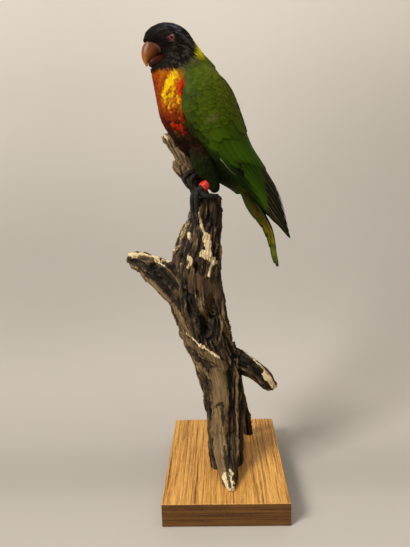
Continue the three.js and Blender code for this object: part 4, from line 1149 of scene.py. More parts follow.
def crowded(cells, home, p, gap):
    # whether a feather already stands nearer than the smaller of the two spacings
    steps = (-1, 0, 1)
    for key in ((home[0] + i, home[1] + j, home[2] + k) for i in steps for j in steps for k in steps):
        for q, other in cells.get(key, ()):
            limit = min(gap, other)
            if (p[0] - q[0]) ** 2 + (p[1] - q[1]) ** 2 + (p[2] - q[2]) ** 2 < limit * limit:
                return True
    return False


def scatter(keep, count):
    points = pointsOf(skin)
    skin.data.calc_loop_triangles()
    corners = np.empty(len(skin.data.loop_triangles) * 3, np.int32)
    skin.data.loop_triangles.foreach_get("vertices", corners)
    corners = points[corners.reshape(-1, 3)]
    size = np.linalg.norm(np.cross(corners[:, 1] - corners[:, 0], corners[:, 2] - corners[:, 0]), axis=1)
    chosen = draw.choice(len(corners), count, p=size / size.sum())
    mix = draw.random((count, 2))
    mix = np.where(mix.sum(1, keepdims=True) > 1, 1 - mix, mix)
    a, b, c = (corners[chosen, k] for k in range(3))
    at = toBird(a + (b - a) * mix[:, :1] + (c - a) * mix[:, 1:])
    at = at[keep(at)]
    spacing = coatSizes(at)[0]
    cells, chosen = {}, []
    for k, (p, gap) in enumerate(zip(at, spacing)):
        home = tuple(int(math.floor(c / coatSet["cell"])) for c in p)
        if not crowded(cells, home, p, gap):
            cells.setdefault(home, []).append((tuple(p), gap))
            chosen.append(k)
    return at[chosen]


def underWing(points):
    along, angle = wingPlace(points)
    low, high = edge(1, along), edge(2, along)
    return (along < 106) & (angle < low - 5 - edgeDraw(along)) & (angle > high + 7)


def traceFeather(start, lie, skew, length, half, rows, columns, width):
    # follows the skin from the root: the place of each point of one feather, and the way outwards there
    places = np.empty((len(rows), len(columns), 3))
    outwards = np.empty_like(places)
    hit, up, _, _ = skinTree.find_nearest(Vector(start))
    heading = Vector(lie)
    heading = (heading - up * heading.dot(up)).normalized()
    heading = (heading + up.cross(heading) * skew).normalized()
    for r in range(len(rows)):
        side = up.cross(heading)
        for c, x in enumerate(columns):
            flat = hit + side * (x * width[r] * half * mm)
            spot, out = flat, up
            if abs(x) > 0.01 and half > coatSet["wrap"]:
                spot, out, _, _ = skinTree.find_nearest(flat)
                if out.dot(up) < 0.3:
                    spot, out = flat, up
            places[r, c] = spot
            outwards[r, c] = out
        if r + 1 < len(rows):
            step = length * mm * (rows[r + 1] - rows[r])
            ahead = hit + heading * step
            nextHit, nextUp, _, _ = skinTree.find_nearest(ahead)
            if nextUp.dot(up) < 0.2 or (nextHit - hit).length < 0.4 * step:
                nextHit, nextUp = ahead, up
            hit, up = nextHit, nextUp
            heading = (heading - up * heading.dot(up)).normalized()
    return places, outwards


def layCoat(name, roots, kind, across, along, lift, slotName):
    s = coatSet
    count = len(roots)
    blank = featherBlank(across, along)
    x, v = blank["x"], blank["v"]
    _, length, half = coatSizes(roots)
    length = length * draw.uniform(*s["length"], count)
    half = half * draw.uniform(*s["half"], count)
    lie = unit(turnedToWorld(lieAt(roots)))
    skew = draw.normal(0, s["skew"], count)
    tipLift = draw.uniform(*s["tipLift"], count)
    rows = rowPlaces(blank["rows"])
    columns = np.linspace(-1, 1, blank["columns"])
    width = featherWidth(rows, kind)
    starts = toWorld(roots)
    traced = [traceFeather(starts[f], lie[f], skew[f], length[f], half[f], rows, columns, width)
              for f in range(count)]
    surface, normal = (np.array(part) for part in zip(*traced))
    row = blank["row"]
    column = np.rint((x + 1) / 2 * (blank["columns"] - 1)).astype(int)
    base, out = surface[:, row, column], normal[:, row, column]
    tall, wide = length[:, None], half[:, None]
    height = lift[0] + (lift[1] - lift[0]) * v**0.8 * tipLift[:, None]
    height = height * (0.35 + 0.65 * np.clip(half / 2.2, 0.3, 1))[:, None]
    height = height - s["cup"] * wide * x**2
    height = height + s["thick"] * blank["top"]
    fringe = draw.uniform(-1, 1, base.shape[:2]) * s["fringe"] * (v > 0.75) * tall
    pull = -s["pull"] * tall * x**2 * (v > 0.6)
    slide = unit(surface[:, -1, :].mean(1) - surface[:, 0, :].mean(1))[:, None]
    places = base + out * (height * mm)[..., None] + slide * ((fringe + pull) * mm)[..., None]
    middle = blank["columns"] // 2
    jitter = draw.normal(0, s["jitter"], (count, 3))
    early = markings(toBird(surface[:, 1, middle]) + jitter)
    late = markings(toBird(surface[:, -2, middle]) + jitter)
    tint = mixed(early[:, None], late[:, None], np.broadcast_to(blend(0.3, 0.9, v), base.shape[:2]))
    colours = tint * (1 + draw.normal(0, s["shade"], (count, 1, 1)))
    colours = colours * (1 + draw.normal(0, s["hue"], (count, 1, 3)))
    colours = paintEdges(colours, roots, blank)
    seed = np.broadcast_to(draw.uniform(0, 90, (count, 1)), base.shape[:2])
    vane = np.stack([x * wide, v * tall, seed], 2)
    angle = np.arctan2(roots[:, 1], roots @ chest + 32) / (2 * math.pi) + 0.5
    bakeAt = 0.02 + 0.96 * np.stack([angle, np.clip((roots @ spine + 30) / 240, 0, 1)], 1)
    coat = featherMesh(name, blank, places, colours, vane, bakeAt, 0.003)
    finishPiece(coat, slotName, softFeather)


def paintEdges(colours, roots, blank):
    # dark edges in front, worn edges behind, pale shafts in streaks over the head, and painted shade towards
    # each feather's root
    head = headShare(roots)
    out, tall = roots @ chest, roots[:, 2]
    x, v = np.abs(blank["x"]), blank["v"]
    front = blend(-23, -13, out) * (1 - head) * blend(40, 62, tall)
    edgeShare = np.clip(blend(0.7, 1.0, v) * 0.9 + blend(0.75, 1.0, x) * 0.3, 0, 1)
    deep = 0.25 + 0.7 * blend(104, 84, tall) + 0.3 * blend(78, 66, tall)
    dark = draw.uniform(0.0, 1.0, len(roots)) ** 1.2 * front * deep
    colours = mixed(colours, tints["maroon"] * 0.7, edgeShare[None] * dark[:, None])
    plain = (1 - head) * (1 - front)
    worn = edgeShare[None] * draw.uniform(0, 0.7, len(roots))[:, None] * plain[:, None]
    colours = mixed(colours, colours * 0.6, worn)
    shaft = (0.35 + 0.65 * (1 - x)) * blend(0.1, 0.6, v)
    band = noiseAt(roots * (0.16, 0.3, 0.42) + 80, 3)
    streak = np.clip(0.02 + 1.5 * band + draw.normal(0, 0.2, len(roots)), 0, 0.75) * blend(0.75, 1.0, head)
    streak *= 0.1 + 0.9 * blend(5, 15, billDistance(roots))
    pale = mixed(tints["cheek"], tints["crown"], blend(144, 154, tall))
    colours = mixed(colours, pale[:, None], shaft[None] * streak[:, None])
    # painted shade: each feather darker towards its root, under the feathers that lie over it
    under = 1 - 0.5 * blend(0.5, 0.1, v)
    return colours * under[None, :, None]


bandCentre = np.array([2.8, 13.8, 10.8])


def bareFace(points):
    return (eyeDistance(points) < 4.0) | (billDistance(points) < 0.5) | (points[:, 0] > 53)


def onHead(points):
    return (headShare(points) > 0.35) & ~bareFace(points)


def onTrunk(points):
    clear = np.linalg.norm(points - bandCentre, axis=1) > coatSet["bandGap"]
    return (headShare(points) <= 0.35) & ~underWing(points) & clear


heads = scatter(onHead, coatSet["headTries"])
for word, roots in zip(("Left", "Right"), (heads[heads[:, 1] >= 0], heads[heads[:, 1] < 0])):
    layCoat("coatHead" + word, roots, "narrow", 2, 5, (0.1, 1.0), "hood")
bodies = scatter(onTrunk, coatSet["bodyTries"])
bodies = bodies[np.argsort(bodies @ spine)]
for word, roots in zip(("Belly", "Breast", "Mantle", "Neck"), np.array_split(bodies, 4)):
    layCoat("coat" + word, roots, "round", 6, 5, (0.1, 0.85), "breast")
print("coat", len(heads), len(bodies))

# Wing feathers, group by group from the lower edge of the wing to its upper edge

vaneSet = {
    "thick": 0.24, "gap": 0.1, "radius": 26, "tipWander": 1.6, "angleWander": 1.5,
    "rowWander": (1.3, 1.1, 1.2), "tipRange": (0.88, 1.12), "halfRange": (0.9, 1.1),
}
featherGroups = {
    "primaries": {
        "count": 10, "root": 53, "rootAngles": (115, 42), "sink": 1.3, "half": 3.1, "bulge": 9,
        "shape": "long", "tips": (-78, -85, -84, -74, -63, -51, -40),
        "tipAngles": (100, 91, 80, 66, 52, 38, 24),
    },
    "secondaries": {
        "count": 10, "root": 54, "rootAngles": (109, 20), "sink": 1.4, "half": 5.0, "bulge": 0,
        "shape": "broad", "tips": (2, 17, 12.5, 5, -2, -6, -4), "tipAngles": (106, 92, 76, 61, 47, 33, 17),
    },
    "primaryCoverts": {
        "count": 6, "root": 66, "rootAngles": (121, 99), "sink": 0.9, "half": 4.0, "bulge": 0,
        "shape": "broad", "tips": (28, 34, 38), "tipAngles": (120, 112, 103),
    },
    "greaterCoverts": {
        "count": 12, "root": 72, "rootAngles": (118, 25), "sink": 0.9, "half": 4.9, "bulge": 0,
        "shape": "broad", "tips": (46, 44, 42, 40, 41, 43), "tipAngles": (115, 97, 78, 59, 40, 20),
    },
    "medianCoverts": {
        "count": 13, "root": 86, "rootAngles": (117, 35), "sink": 0.8, "half": 4.4, "bulge": 0,
        "shape": "broad", "tips": (66, 64, 62, 62, 63, 65), "tipAngles": (121, 103, 85, 66, 47, 29),
    },
}
covertRows = {
    "lesserCoverts": {
        "first": 113, "last": 70, "step": 3.1, "length": 12.5, "half": 3.3, "pitch": 4.0, "sink": 0.7,
        "smallest": 0.5, "grown": 92, "from": "low", "begin": 3, "end": 5, "rise": 0.0,
    },
    "scapulars": {
        "first": 107, "last": 56, "step": 4.2, "length": 19, "half": 4.4, "pitch": 5.0, "sink": 1.1,
        "smallest": 0.75, "grown": 96, "from": "high", "begin": 9, "end": 16, "rise": 0.3,
    },
}
rightFold = {"shorter": 0.2, "raise": 18}


def wingVane(blank, side, vane):
    # one feather of the closed wing, whose outer web, at the greater angle, lies over the next feather
    x, v, half, seed = blank["x"], blank["v"], vane["half"], vane["seed"]
    along = vane["root"] - (vane["root"] - vane["tip"]) * v
    turned = (vane["tipAngle"] - vane["rootAngle"]) * v
    angle = vane["rootAngle"] + turned + vane["bulge"] * np.sin(math.pi * v)
    reach = x * (half * featherWidth(v, vane["shape"]) * (1 + 0.03 * np.sin(seed * 2.3 + 9 * v)))
    radius = (shell(2, along) + shell(3, along)) / 2
    notch = 0.2 * np.sin(40 * v + 7 * seed) * (np.abs(x) > 0.9)
    here = angle + np.degrees((reach + notch) / radius)
    height = wingTop(along, here) - vane["sink"] * (1 - v) + vane["lean"] * (reach - half)
    height = height - 0.03 * reach**2 / half + 0.12 * np.exp(-((x / 0.1) ** 2)) * (1 - 0.7 * v)
    height = height + blank["top"] * vaneSet["thick"] / 2 * (1 - 0.5 * v) + vane["rise"]
    return toWorld(onWing(along, here, height, side)), along, angle, reach


def groupVanes(side):
    vanes = []
    for groupName, group in featherGroups.items():
        count = group["count"]
        tips, tipAngles = spread(group["tips"], count), spread(group["tipAngles"], count)
        rootAngles = spread(group["rootAngles"], count)
        if side < 0:
            tipAngles = tipAngles - rightFold["raise"] * min(1, count / 10) * tipAngles / 90
            tips = tips + rightFold["shorter"] * np.maximum(0, 20 - tips)
        if groupName.endswith("Coverts"):
            tips = tips + draw.normal(0, vaneSet["tipWander"], count)
            tipAngles = tipAngles + draw.normal(0, vaneSet["angleWander"], count)
        pitch = (tipAngles[0] - tipAngles[-1]) / (count - 1) * math.pi / 180 * vaneSet["radius"]
        lean = min(0.3, (vaneSet["thick"] + vaneSet["gap"]) / pitch)
        for k in range(count):
            vanes.append({
                **group, "group": groupName, "k": k, "share": k / (count - 1), "tip": tips[k],
                "rootAngle": rootAngles[k], "tipAngle": tipAngles[k], "lean": lean, "seed": k, "rise": 0,
            })
    return vanes


def covertVanes(groupName):
    # rows of small feathers over the wing's front, every other row set half a feather to the side
    vanes = []
    s = covertRows[groupName]
    root, row = s["first"], 0
    while root > s["last"]:
        size = s["smallest"] + (1 - s["smallest"]) * float(blend(s["first"], s["grown"], root))
        middle = root - s["length"] * size * 0.6
        low, high = float(edge(1, middle)) - float(edgeDraw(middle)), float(edge(2, middle))
        step = math.degrees(s["pitch"] * size / float(shell(2, middle)))
        low -= 9 * float(blend(88, 72, middle))
        first = (low if s["from"] == "low" else high) + s["begin"]
        for k, angle in enumerate(np.arange(first - (row % 2) * step / 2, high - s["end"], -step)):
            shift = draw.normal(0, vaneSet["rowWander"]) * size
            vanes.append({
                "group": groupName, "k": k, "share": 0.5, "root": root + shift[0], "shape": "broad",
                "tip": root + shift[0] - s["length"] * size * draw.uniform(*vaneSet["tipRange"]),
                "rootAngle": angle + shift[1], "tipAngle": angle + shift[1] + shift[2] + 2.0,
                "half": s["half"] * size * draw.uniform(*vaneSet["halfRange"]), "sink": s["sink"] * size,
                "lean": (vaneSet["thick"] + vaneSet["gap"]) / s["pitch"] * size, "bulge": 0,
                "seed": row * 5 + k, "rise": s["rise"],
            })
        root -= s["step"] * size
        row += 1
    return vanes


def wingPiece(name, blank, side, vanes, stripColumns, *replaced):
    x, v = blank["x"], blank["v"]
    places, colours, textures = [], [], []
    for vane in vanes:
        place, along, angle, reach = wingVane(blank, side, vane)
        places.append(place)
        colours.append(flightColour(vane, along, angle, x, v, side))
        travel = v * (vane["root"] - vane["tip"])
        textures.append(np.stack([reach, travel, np.full(x.size, 7.0 * vane["seed"])], 1))
    places, colours, textures = np.array(places), np.array(colours), np.array(textures)
    obj = featherMesh(name, blank, places, colours, textures, np.zeros((len(vanes), 2)), 0)
    bakeStrips(obj, len(vanes), x, v, stripColumns)
    finishPiece(obj, "green", firmFeather, *replaced)


def bakeStrips(obj, count, x, v, columns):
    # each vane has its own upright strip, side by side in rows
    corners = np.empty(len(obj.data.loops), np.int32)
    obj.data.loops.foreach_get("vertex_index", corners)
    rows = -(-count // columns)
    column, row = np.arange(count) % columns, np.arange(count) // columns
    across = (column[:, None] + 0.5 + 0.42 * x[None]) / columns
    up = (row[:, None] + 0.05 + 0.9 * v[None]) / rows
    flat = np.stack([across.ravel(), up.ravel()], 1)
    obj.data.uv_layers["OFBake"].data.foreach_set("uv", flat[corners].astype(np.float32).ravel())


flightSet = {
    "greenEnd": ([34, 50, 66, 86, 100, 120], [8, -2, -13, -29, -39, -49]), "rightGreen": 0.1,
    "lowEdge": ([-36, -5, 19, 33, 45, 60], [110, 100, 106, 111, 117, 120]), "paleLine": (210, 206, 180),
}


def flightColour(vane, along, angle, x, v, side):
    groupName, k, share = vane["group"], vane["k"], vane["share"]
    outer = blend(-0.15, 0.1, x)
    base = mixed(tints["wing"], tints["flight"], blend(80, 20, along))
    base = mixed(base, tints["mantle"], 0.75 * blend(84, 44, angle) * blend(24, 84, along))
    # painted shade: the wing's lower front part, darker and bluer
    base = mixed(base, tints["shoulderShade"], 0.8 * blend(78, 108, angle) * blend(72, 96, along))
    if groupName == "primaries":
        dusk = mixed(tints["blueBlack"], tints["dusk"], np.full(x.size, 0.5 + 0.5 * math.sin(k * 1.7)))
        reach = np.interp(angle, *flightSet["greenEnd"])
        greenShare = outer * blend(reach - 3, reach + 3, along)
        greenShare = greenShare * (1.0 if side > 0 else flightSet["rightGreen"])
        base = mixed(dusk, base * (0.85 - 0.2 * share), greenShare)
        edging = blend(0.82, 0.96, x) * blend(reach + 4, reach - 8, along) * (0.9 if k % 2 else 0.5)
        base = mixed(base, tints["tan"] * 1.2, edging)
    if groupName == "secondaries":
        base = mixed(base, tints["dusk"], 0.75 * (1 - outer))
        base = mixed(base, tints["vent"], 0.5 * blend(0.85, 1, v) * (share > 0.6))
        if k == 0:
            line = blend(0.9, 1.0, x) * blend(36, 30, along) * blend(4, 8, along)
            base = mixed(base, colour(*flightSet["paleLine"]), line)
    tipShade = 1 - (0.3 if groupName in ("primaries", "secondaries") else 0.0) * blend(0.8, 1.0, v)
    rootShade = 0.9 + 0.1 * blend(0.1, 0.6, v)
    wear = 1 + 0.18 * math.sin(5.1 * vane["seed"] + 2 + along[0])
    limit = np.interp(along, *flightSet["lowEdge"])
    lowShade = 1 - 0.74 * blend(-6, 3, angle - limit) * blend(84, 64, along)
    lowShade *= 1 - 0.3 * blend(96, 114, angle) * blend(104, 90, along) * blend(50, 66, along)
    worn = np.exp(-(((along - 66) / 3.5) ** 2) - ((angle - 92) / 7) ** 2)
    base = mixed(base, tints["tan"], 0.5 * worn)
    # painted highlight: pale olive edges on the small coverts and scapulars
    if groupName in ("lesserCoverts", "scapulars"):
        rim = np.clip(0.6 * blend(0.7, 1, np.abs(x)) + blend(0.75, 1, v), 0, 1)
        base = mixed(base, tints["rim"], rim * (0.12 + 0.12 * math.sin(3.7 * vane["seed"] + along[0])))
    return base * (tipShade * rootShade * wear * lowShade)[:, None]


for side, word in ((1, "left"), (-1, "right")):
    name = word.capitalize()
    wingPiece("wingFeathers" + name, featherBlank(8, 26), side, groupVanes(side), 48, "wing_" + word)
    coverts = covertVanes("lesserCoverts") + covertVanes("scapulars")
    wingPiece("wingCoverts" + name, featherBlank(6, 9), side, coverts, 20)
print("wings")

# Tail: twelve graduated feathers in an arched roof with coverts over and under their roots

tailSet = {"root": -16, "halfWidth": 2.9, "pitch": 2.35, "thick": 0.28, "spots": (76, 50, 14)}
tailRidge = np.array([(-16, -51), (-30, -52.2), (-48, -54.2), (-65, -55.2), (-79, -52.6), (-92, -48.8),
                      (-108, -45.4)], float)
tailTips = (-108, -104, -86, -75, -63, -52)
tailUnders = (0.3, 0.6, 1, 1, 1, 1)
tailCoverts = [
    {"tips": (-30, -36, -42, -41, -35, -31), "spread": 3.4, "drop": 2.6, "tilt": 9, "half": 3.0,
     "side": 1},
    {"tips": (-26, -31, -33, -30, -26), "spread": 4.2, "drop": 4.6, "tilt": 11, "half": 3.4, "side": 1},
    {"tips": (-36, -43, -49, -48, -42, -37), "spread": 3.0, "drop": -11.4, "tilt": 5, "half": 2.8,
     "side": -1},
]


def tailPlace(along, across, drop, tilt, reach, lift):
    turn = np.radians(tilt)
    none = np.zeros_like(turn)
    out = smoothly(tailRidge[:, 0], tailRidge[:, 1], along)
    centre = onBody(along, out - drop, across)
    flat = np.stack([none, np.cos(turn), none], -1) + np.sin(turn)[..., None] * chest
    up = np.stack([none, -np.sin(turn), none], -1) + np.cos(turn)[..., None] * chest
    return toWorld(centre + flat * reach[..., None] + up * lift[..., None])


def tailFeather(x, v, top, rachis, side, k):
    # one long feather: its places, its colours and its own place for the barbs
    tip = tailTips[k]
    span = tailSet["root"] - tip
    along = tailSet["root"] - span * v
    opened = np.clip(1 - v * span / 60, 0, 1)
    apart = 0.55 + 0.45 * np.minimum(1, v * span / 20)
    end = np.clip((along - tip + 1) / 9, 0.18, 1)
    half = tailSet["halfWidth"] * (0.85 + 0.3 * np.sin(math.pi * np.minimum(v, 0.6))) * np.sqrt(end)
    drop = (0.6 + k * (0.95 + 0.3 * opened)) * -1.0 if k else np.full(x.size, 0.0 if side > 0 else -0.6)
    lift = rachis + top * tailSet["thick"] / 2 + 0.05 * (x * half) ** 2 / 3
    across = side * tailSet["pitch"] * (k + 0.5) * apart
    place = tailPlace(along, across, drop, side * k * (4 + 3 * opened), x * half, lift)
    inner = blend(0.0, -0.5, x * side)
    base = mixed(tints["tailTop"], tints["flight"], np.full(x.size, 0.2 + 0.1 * k))
    grain = np.stack([x * half * 0.4, along * 0.16, np.full(x.size, 3.0 * k)], 1)
    under = mixed(tints["tailUnder"], colour(*tailSet["spots"]), np.clip(noiseAt(grain, 2) * 3, 0, 1))
    base = mixed(base, under, np.where(top < 0.5, 0.0, 0.9) * inner * tailUnders[k])
    base = mixed(base, tints["dusk"], 0.85 * blend(tip + 7, tip + 1, along))
    vane = np.stack([x * half, v * span, np.full(x.size, 11.0 * k + side)], 1)
    # painted shade: darker towards the root, under the coverts
    return place, base * (0.8 + 0.2 * v)[:, None], vane


def tailCovert(x, v, top, rachis, row, k):
    side, tip = row["side"], row["tips"][k]
    middle = k - (len(row["tips"]) - 1) / 2
    layer = abs(middle) * 0.9
    span = tailSet["root"] + 4 - tip
    along = tailSet["root"] + 4 - span * v
    half = row["half"] * featherWidth(v, "broad")
    drop = row["drop"] - layer - v * 0.8 if side > 0 else row["drop"] + layer + v
    lift = top * tailSet["thick"] / 2 + rachis * side
    across = middle * row["spread"] * (0.7 + 0.3 * v)
    place = tailPlace(along, across, drop, np.full(x.size, middle * row["tilt"]), x * half, lift)
    base = np.broadcast_to(tints["back"] if side > 0 else tints["vent"], (x.size, 3))
    vane = np.stack([x * half, v * span, np.full(x.size, 5.0 * k + row["drop"])], 1)
    # painted shade: darker towards the root
    return place, base * (0.75 + 0.25 * v)[:, None], vane


def buildTail():
    blank = featherBlank(8, 26)
    x, v, top = blank["x"], blank["v"], blank["top"]
    rachis = -0.2 * np.exp(-((x / 0.1) ** 2)) * (1 - 0.7 * v)
    made = [tailFeather(x, v, top, rachis, side, k) for side in (1, -1) for k in range(len(tailTips))]
    made += [tailCovert(x, v, top, rachis, row, k) for row in tailCoverts for k in range(len(row["tips"]))]
    places, colours, vanes = (np.array(part) for part in zip(*made))
    bakes = np.stack([0.02 + 0.03 * np.arange(len(made)), np.full(len(made), 0.5)], 1)
    obj = featherMesh("tailFeathers", blank, places, colours, vanes, bakes, 0.02)
    finishPiece(obj, "green", firmFeather, "tail")


buildTail()
print("tail")

# Bill: the two mandibles of the frame, rounded off and given their horn colour, with a painted highlight
# along the top of the upper one and painted shadow deepening the lower one

hornSet = {
    # upper: golden at the cutting edge, maroon higher up and behind, and a pinkish painted highlight along
    # the top
    "upper": {"gloss": 0.4, "tones": ((0.0, 214, 156, 50), (0.18, 166, 96, 22), (0.45, 138, 76, 20),
                                      (0.74, 100, 44, 20), (1.0, 162, 124, 104))},
    # lower: its own dark colour deepened with painted shadow, under the upper
    "lower": {"gloss": 0.1, "tones": ((0.0, 62, 28, 12), (0.5, 70, 26, 10), (1.0, 34, 12, 8))},
}


def hornMaterial(kind):
    material, tree = newMaterial(kind + "Horn")
    place = objectPlace(tree)
    cloud = noiseNode(tree, place, 260.0, 3.0, 0.55)
    grow = stretchedNoise(tree, place, (300, 300, 1200), 3.0, 0.5)
    tone = tones(tree, attribute(tree, "hornAndHighlight", "Fac"), *hornSet[kind]["tones"])
    tone = mixNode(tree, "MULTIPLY", 0.6, tone, ramp(tree, cloud, (0.3, 0.6), (0.65, 1.0)))
    return finished(material, tone, bumpNode(tree, grow, 0.2, 0.0002),
                    Roughness=ramp(tree, cloud, (0.3, 0.36), (0.7, 0.52)), Subsurface_Weight=0.08,
                    Subsurface_Radius=(0.002, 0.001, 0.0005), Specular_IOR_Level=hornSet[kind]["gloss"])


def buildBill(nodeName, pieceName, kind):
    bill = cadCopy(pieceName, nodeName)
    editedAll(bill, bpy.ops.mesh.tris_convert_to_quads)
    applied(bill, "SUBSURF", levels=2, render_levels=2)
    points = toBird(pointsOf(bill))
    # the place on the ramp: up the bill and further back, with the painted highlight at the top
    giveValues(bill, "hornAndHighlight", np.clip((points[:, 2] - 120) / 27 + 0.35 * blend(48, 38, points[:, 0]), 0, 1))
    finishPiece(bill, "bill", hornMaterial(kind), nodeName)


buildBill("bill_upper", "billUpper", "upper")
buildBill("bill_lower", "billLower", "lower")

# Eyes and lids

irisTones = ((0.0, 6, 4, 4), (0.27, 8, 5, 4), (0.3, 66, 16, 9), (0.42, 140, 42, 24), (0.56, 152, 54, 36),
             (0.7, 60, 22, 16))


def eyeMaterial():
    material, tree = newMaterial("glassEye")
    speck = noiseNode(tree, objectPlace(tree), 2500.0, 3.0)
    iris = tones(tree, attribute(tree, "irisAngle", "Fac"), *irisTones)
    tone = mixNode(tree, "MULTIPLY", 0.5, iris, ramp(tree, speck, (0.3, 0.5), (0.6, 1.0)))
    return finished(material, tone, Roughness=0.25, Coat_Weight=1.0, Coat_Roughness=0.02)


def grainyMaterial(name, scale, detail, stops, strength, distance, rough):
    # one fine noise gives a small part its two tones and its relief
    material, tree = newMaterial(name)
    grain = noiseNode(tree, objectPlace(tree), scale, detail)
    bump = bumpNode(tree, grain, strength, distance)
    return finished(material, tones(tree, grain, *stops), bump, Roughness=rough)


glass = eyeMaterial()
lidTones = ((0.3, 52, 26, 22), (0.7, 112, 62, 52))
lidSkin = grainyMaterial("lidSkin", 1800.0, 2.0, lidTones, 0.6, 0.0003, 0.6)


def buildEye(side, name, nodeName):
    s = eyeSet
    centre = eyeCentre(side)
    bpy.ops.mesh.primitive_uv_sphere_add(segments=40, ring_count=24, radius=s["radius"] * mm,
                                         location=toWorld(centre))
    ball = bpy.context.object
    ball.name = name
    bpy.ops.object.transform_apply(location=True)
    points = toBird(pointsOf(ball))
    gaze = unit(np.array(s["gaze"]) * (1, side, 1))
    giveValues(ball, "irisAngle", np.arccos(np.clip(unit(points - centre) @ gaze, -1, 1)))
    finishPiece(ball, "eye", glass, nodeName)
    bpy.ops.mesh.primitive_torus_add(major_segments=48, minor_segments=12, major_radius=s["lid"] * mm,
                                     minor_radius=s["lidThick"] * mm, location=(0, 0, 0))
    lid = bpy.context.object
    lid.name = name + "Lids"
    ring = pointsOf(lid) / mm
    around = np.arctan2(ring[:, 1], ring[:, 0])
    place = np.stack([ring[:, 0] * 1.04, ring[:, 1] * 0.96, ring[:, 2]], 1)
    rise = side * (s["side"] + s["lidStand"] + place[:, 2] - 0.25 * np.cos(2 * around))
    points = np.stack([centre[0] + place[:, 0], rise, centre[2] + place[:, 1]], 1)
    setPoints(lid, toWorld(points))
    if side > 0:
        lid.data.flip_normals()
    finishPiece(lid, "hood", lidSkin)


buildEye(1, "eyeLeft", "eye_left")
buildEye(-1, "eyeRight", "eye_right")
print("head parts")

# Feet: scaly toes and dark claws along the same paths as in the frame


def toe(path, claw, thick):
    return {"path": path, "claw": claw, "thick": thick}


legSet = {
    "left": {
        "ankle": (-3, 14, 14.5), "foot": (11.2, 14, 4.6),
        "toes": [
            toe([(10, 15, 4.6), (13.2, 17.6, 2.6), (14, 18, -3), (13.4, 17, -9.5), (13, 16, -15)],
                [(12.8, 15.8, -20), (11.6, 15.2, -25.5)], [3.1, 2.8, 2.4, 2.3, 1.7]),
            toe([(10, 13, 4.6), (14.4, 13.4, 3.4), (16.2, 13, -2), (15.8, 11.8, -9), (15.4, 11.4, -16)],
                [(15, 11.6, -21.5), (13.4, 12.6, -27.5)], [3.1, 2.7, 2.4, 2.3, 1.7]),
            toe([(10, 15.4, 4.2), (4.4, 18.6, 1), (-3, 20, 0), (-8.6, 18.8, -0.4)],
                [(-11.6, 18.2, -1.6), (-13.6, 17.6, -4.4)], [3, 2.6, 2.2, 1.6]),
            toe([(10, 12.6, 4.2), (3.4, 9, 1.2), (-4, 7.5, 0.8), (-10, 7, 0.4)],
                [(-13.4, 6.8, 0.8), (-15.4, 6.8, -2.4)], [2.8, 2.4, 2, 1.5]),
        ],
    },
    "right": {
        "ankle": (-10, -13, 30), "foot": (0.5, -12.5, 23),
        "toes": [
            toe([(0, -12, 23), (7, -4.4, 24), (14, -3, 23), (18.2, -3, 18), (17, -2.8, 12.6)],
                [(14.2, -2.6, 8.6), (10.4, -2.8, 5.8)], [3.2, 3, 2.7, 2.4, 1.8]),
            toe([(0, -12.5, 23), (4, -3.4, 21.4), (9, 0, 20), (12.2, 0.8, 16.6), (12, 0.6, 13)],
                [(11, 0.4, 10.4), (9.2, 0.2, 8.8)], [3.1, 2.9, 2.5, 2.1, 1.6]),
            toe([(0.5, -11.5, 22.4), (-3.4, -9.5, 17), (-4.4, -9, 12), (-3.6, -9, 8.4)],
                [(-2.4, -9, 5.4), (0, -9, 3)], [3, 2.5, 2, 1.6]),
            toe([(0.5, -13.5, 22.4), (-3.4, -16.5, 17.6), (-4.4, -17.5, 12.6), (-3.6, -17.6, 9)],
                [(-2.4, -17.6, 6), (0, -17.6, 3.6)], [2.8, 2.5, 2, 1.5]),
        ],
    },
}


def tube(path, thick, sides, rows, ribs=0.0, pitch=1.6):
    line = smoothLine(path, rows)
    radius = smoothly(np.arange(len(thick)), thick, np.linspace(0, len(thick) - 1, rows))
    travel = travelAlong(line)
    along = unit(np.gradient(line, axis=0))
    right = unit(np.array([0, 1.0, 0]) - along * along[:, 1:2])
    out = np.cross(along, right)
    turn = np.arange(sides) * 2 * math.pi / sides
    saw = (travel[:, None] / pitch + 0.16 * np.cos(turn)) % 1
    scale = 1 + ribs * (blend(0, 0.35, saw) - blend(0.6, 1.0, saw) - 0.5)
    ring = radius[:, None] * scale
    return (line[:, None] + right[:, None] * (ring * np.cos(turn))[..., None]
            + out[:, None] * (ring * np.sin(turn))[..., None])


def scaleMaterial():
    material, tree = newMaterial("footScale")
    cell = node(tree, "TexVoronoi", Scale=1100.0)
    feed(tree, cell.inputs["Vector"], objectPlace(tree))
    plate = cell.outputs["Distance"]
    tone = tones(tree, plate, (0.1, 48, 41, 34), (0.6, 18, 15, 12))
    bump = bumpNode(tree, plate, 0.8, 0.0005)
    return finished(material, tone, bump, Roughness=0.65, Specular_IOR_Level=0.25)


footScale = scaleMaterial()
clawTones = ((0.3, 20, 17, 15), (0.7, 52, 44, 38))
clawHorn = grainyMaterial("clawHorn", 900.0, 3.0, clawTones, 0.2, 0.0002, 0.3)
footSet = {"shank": [3.4, 3.3, 3.4], "shankRibs": 0.1, "toeRibs": 0.16, "clawTaper": (0.95, 0.62, 0.14)}


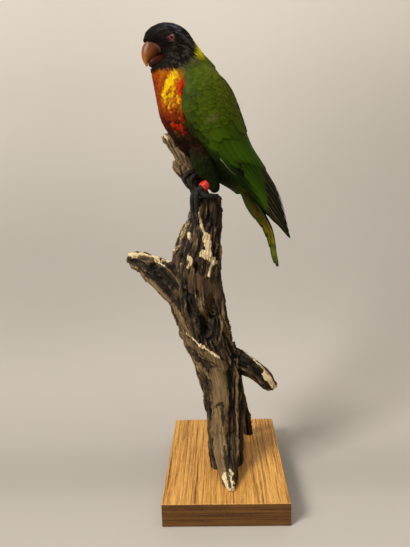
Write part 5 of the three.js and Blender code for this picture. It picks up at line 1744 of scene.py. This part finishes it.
def buildFoot(sideName):
    leg = legSet[sideName]
    word = sideName.capitalize()
    shank = [leg["ankle"], tuple((np.array(leg["ankle"]) + leg["foot"]) / 2), leg["foot"]]
    tubes = [tube(shank, footSet["shank"], 20, 16, footSet["shankRibs"])]
    tubes += [tube(each["path"], each["thick"], 18, 40, footSet["toeRibs"]) for each in leg["toes"]]
    finishPiece(tubeObject("foot" + word, tubes), "scale", footScale, "foot_" + sideName)
    claws = []
    for each in leg["toes"]:
        thick = [share * each["thick"][-1] for share in footSet["clawTaper"]]
        claws.append(tube([each["path"][-1], *each["claw"]], thick, 14, 16))
    finishPiece(tubeObject("claws" + word, claws), "scale", clawHorn)


buildFoot("left")
buildFoot("right")

# Leg band: a split plastic ring round the left shank

bandSet = {"outer": 4.9, "wall": 1.2, "height": 6.8, "along": 0.43, "round": 0.3}


def bandMaterial():
    material, tree = newMaterial("bandPlastic")
    wear = noiseNode(tree, objectPlace(tree), 700.0, 4.0, 0.6)
    tone = tones(tree, wear, (0.35, 184, 30, 16), (0.65, 222, 58, 32))
    return finished(material, tone, bumpNode(tree, wear, 0.1, 0.0001),
                    Roughness=ramp(tree, wear, (0.3, 0.22), (0.7, 0.42)), Coat_Weight=0.3)


def buildBand():
    s = bandSet
    bpy.ops.mesh.primitive_cylinder_add(vertices=56, radius=s["outer"] * mm, depth=s["height"] * mm,
                                        end_fill_type="NOTHING", location=(0, 0, 0))
    band = bpy.context.object
    band.name = "legBand"
    applied(band, "SOLIDIFY", thickness=s["wall"] * mm, offset=-1)
    applied(band, "BEVEL", width=s["round"] * mm, segments=3, limit_method="ANGLE")
    ankle, foot = (np.array(legSet["left"][end], float) for end in ("ankle", "foot"))
    axis = unit(foot - ankle)
    right = unit(np.cross(axis, [0, 1.0, 0]))
    third = np.cross(axis, right)
    local = pointsOf(band) / mm
    centre = ankle + (foot - ankle) * s["along"]
    points = centre + local[:, :1] * right + local[:, 1:2] * third + local[:, 2:] * axis
    setPoints(band, toWorld(points))
    finishPiece(band, "ring", bandMaterial(), "leg_ring")


buildBand()
print("feet and band")
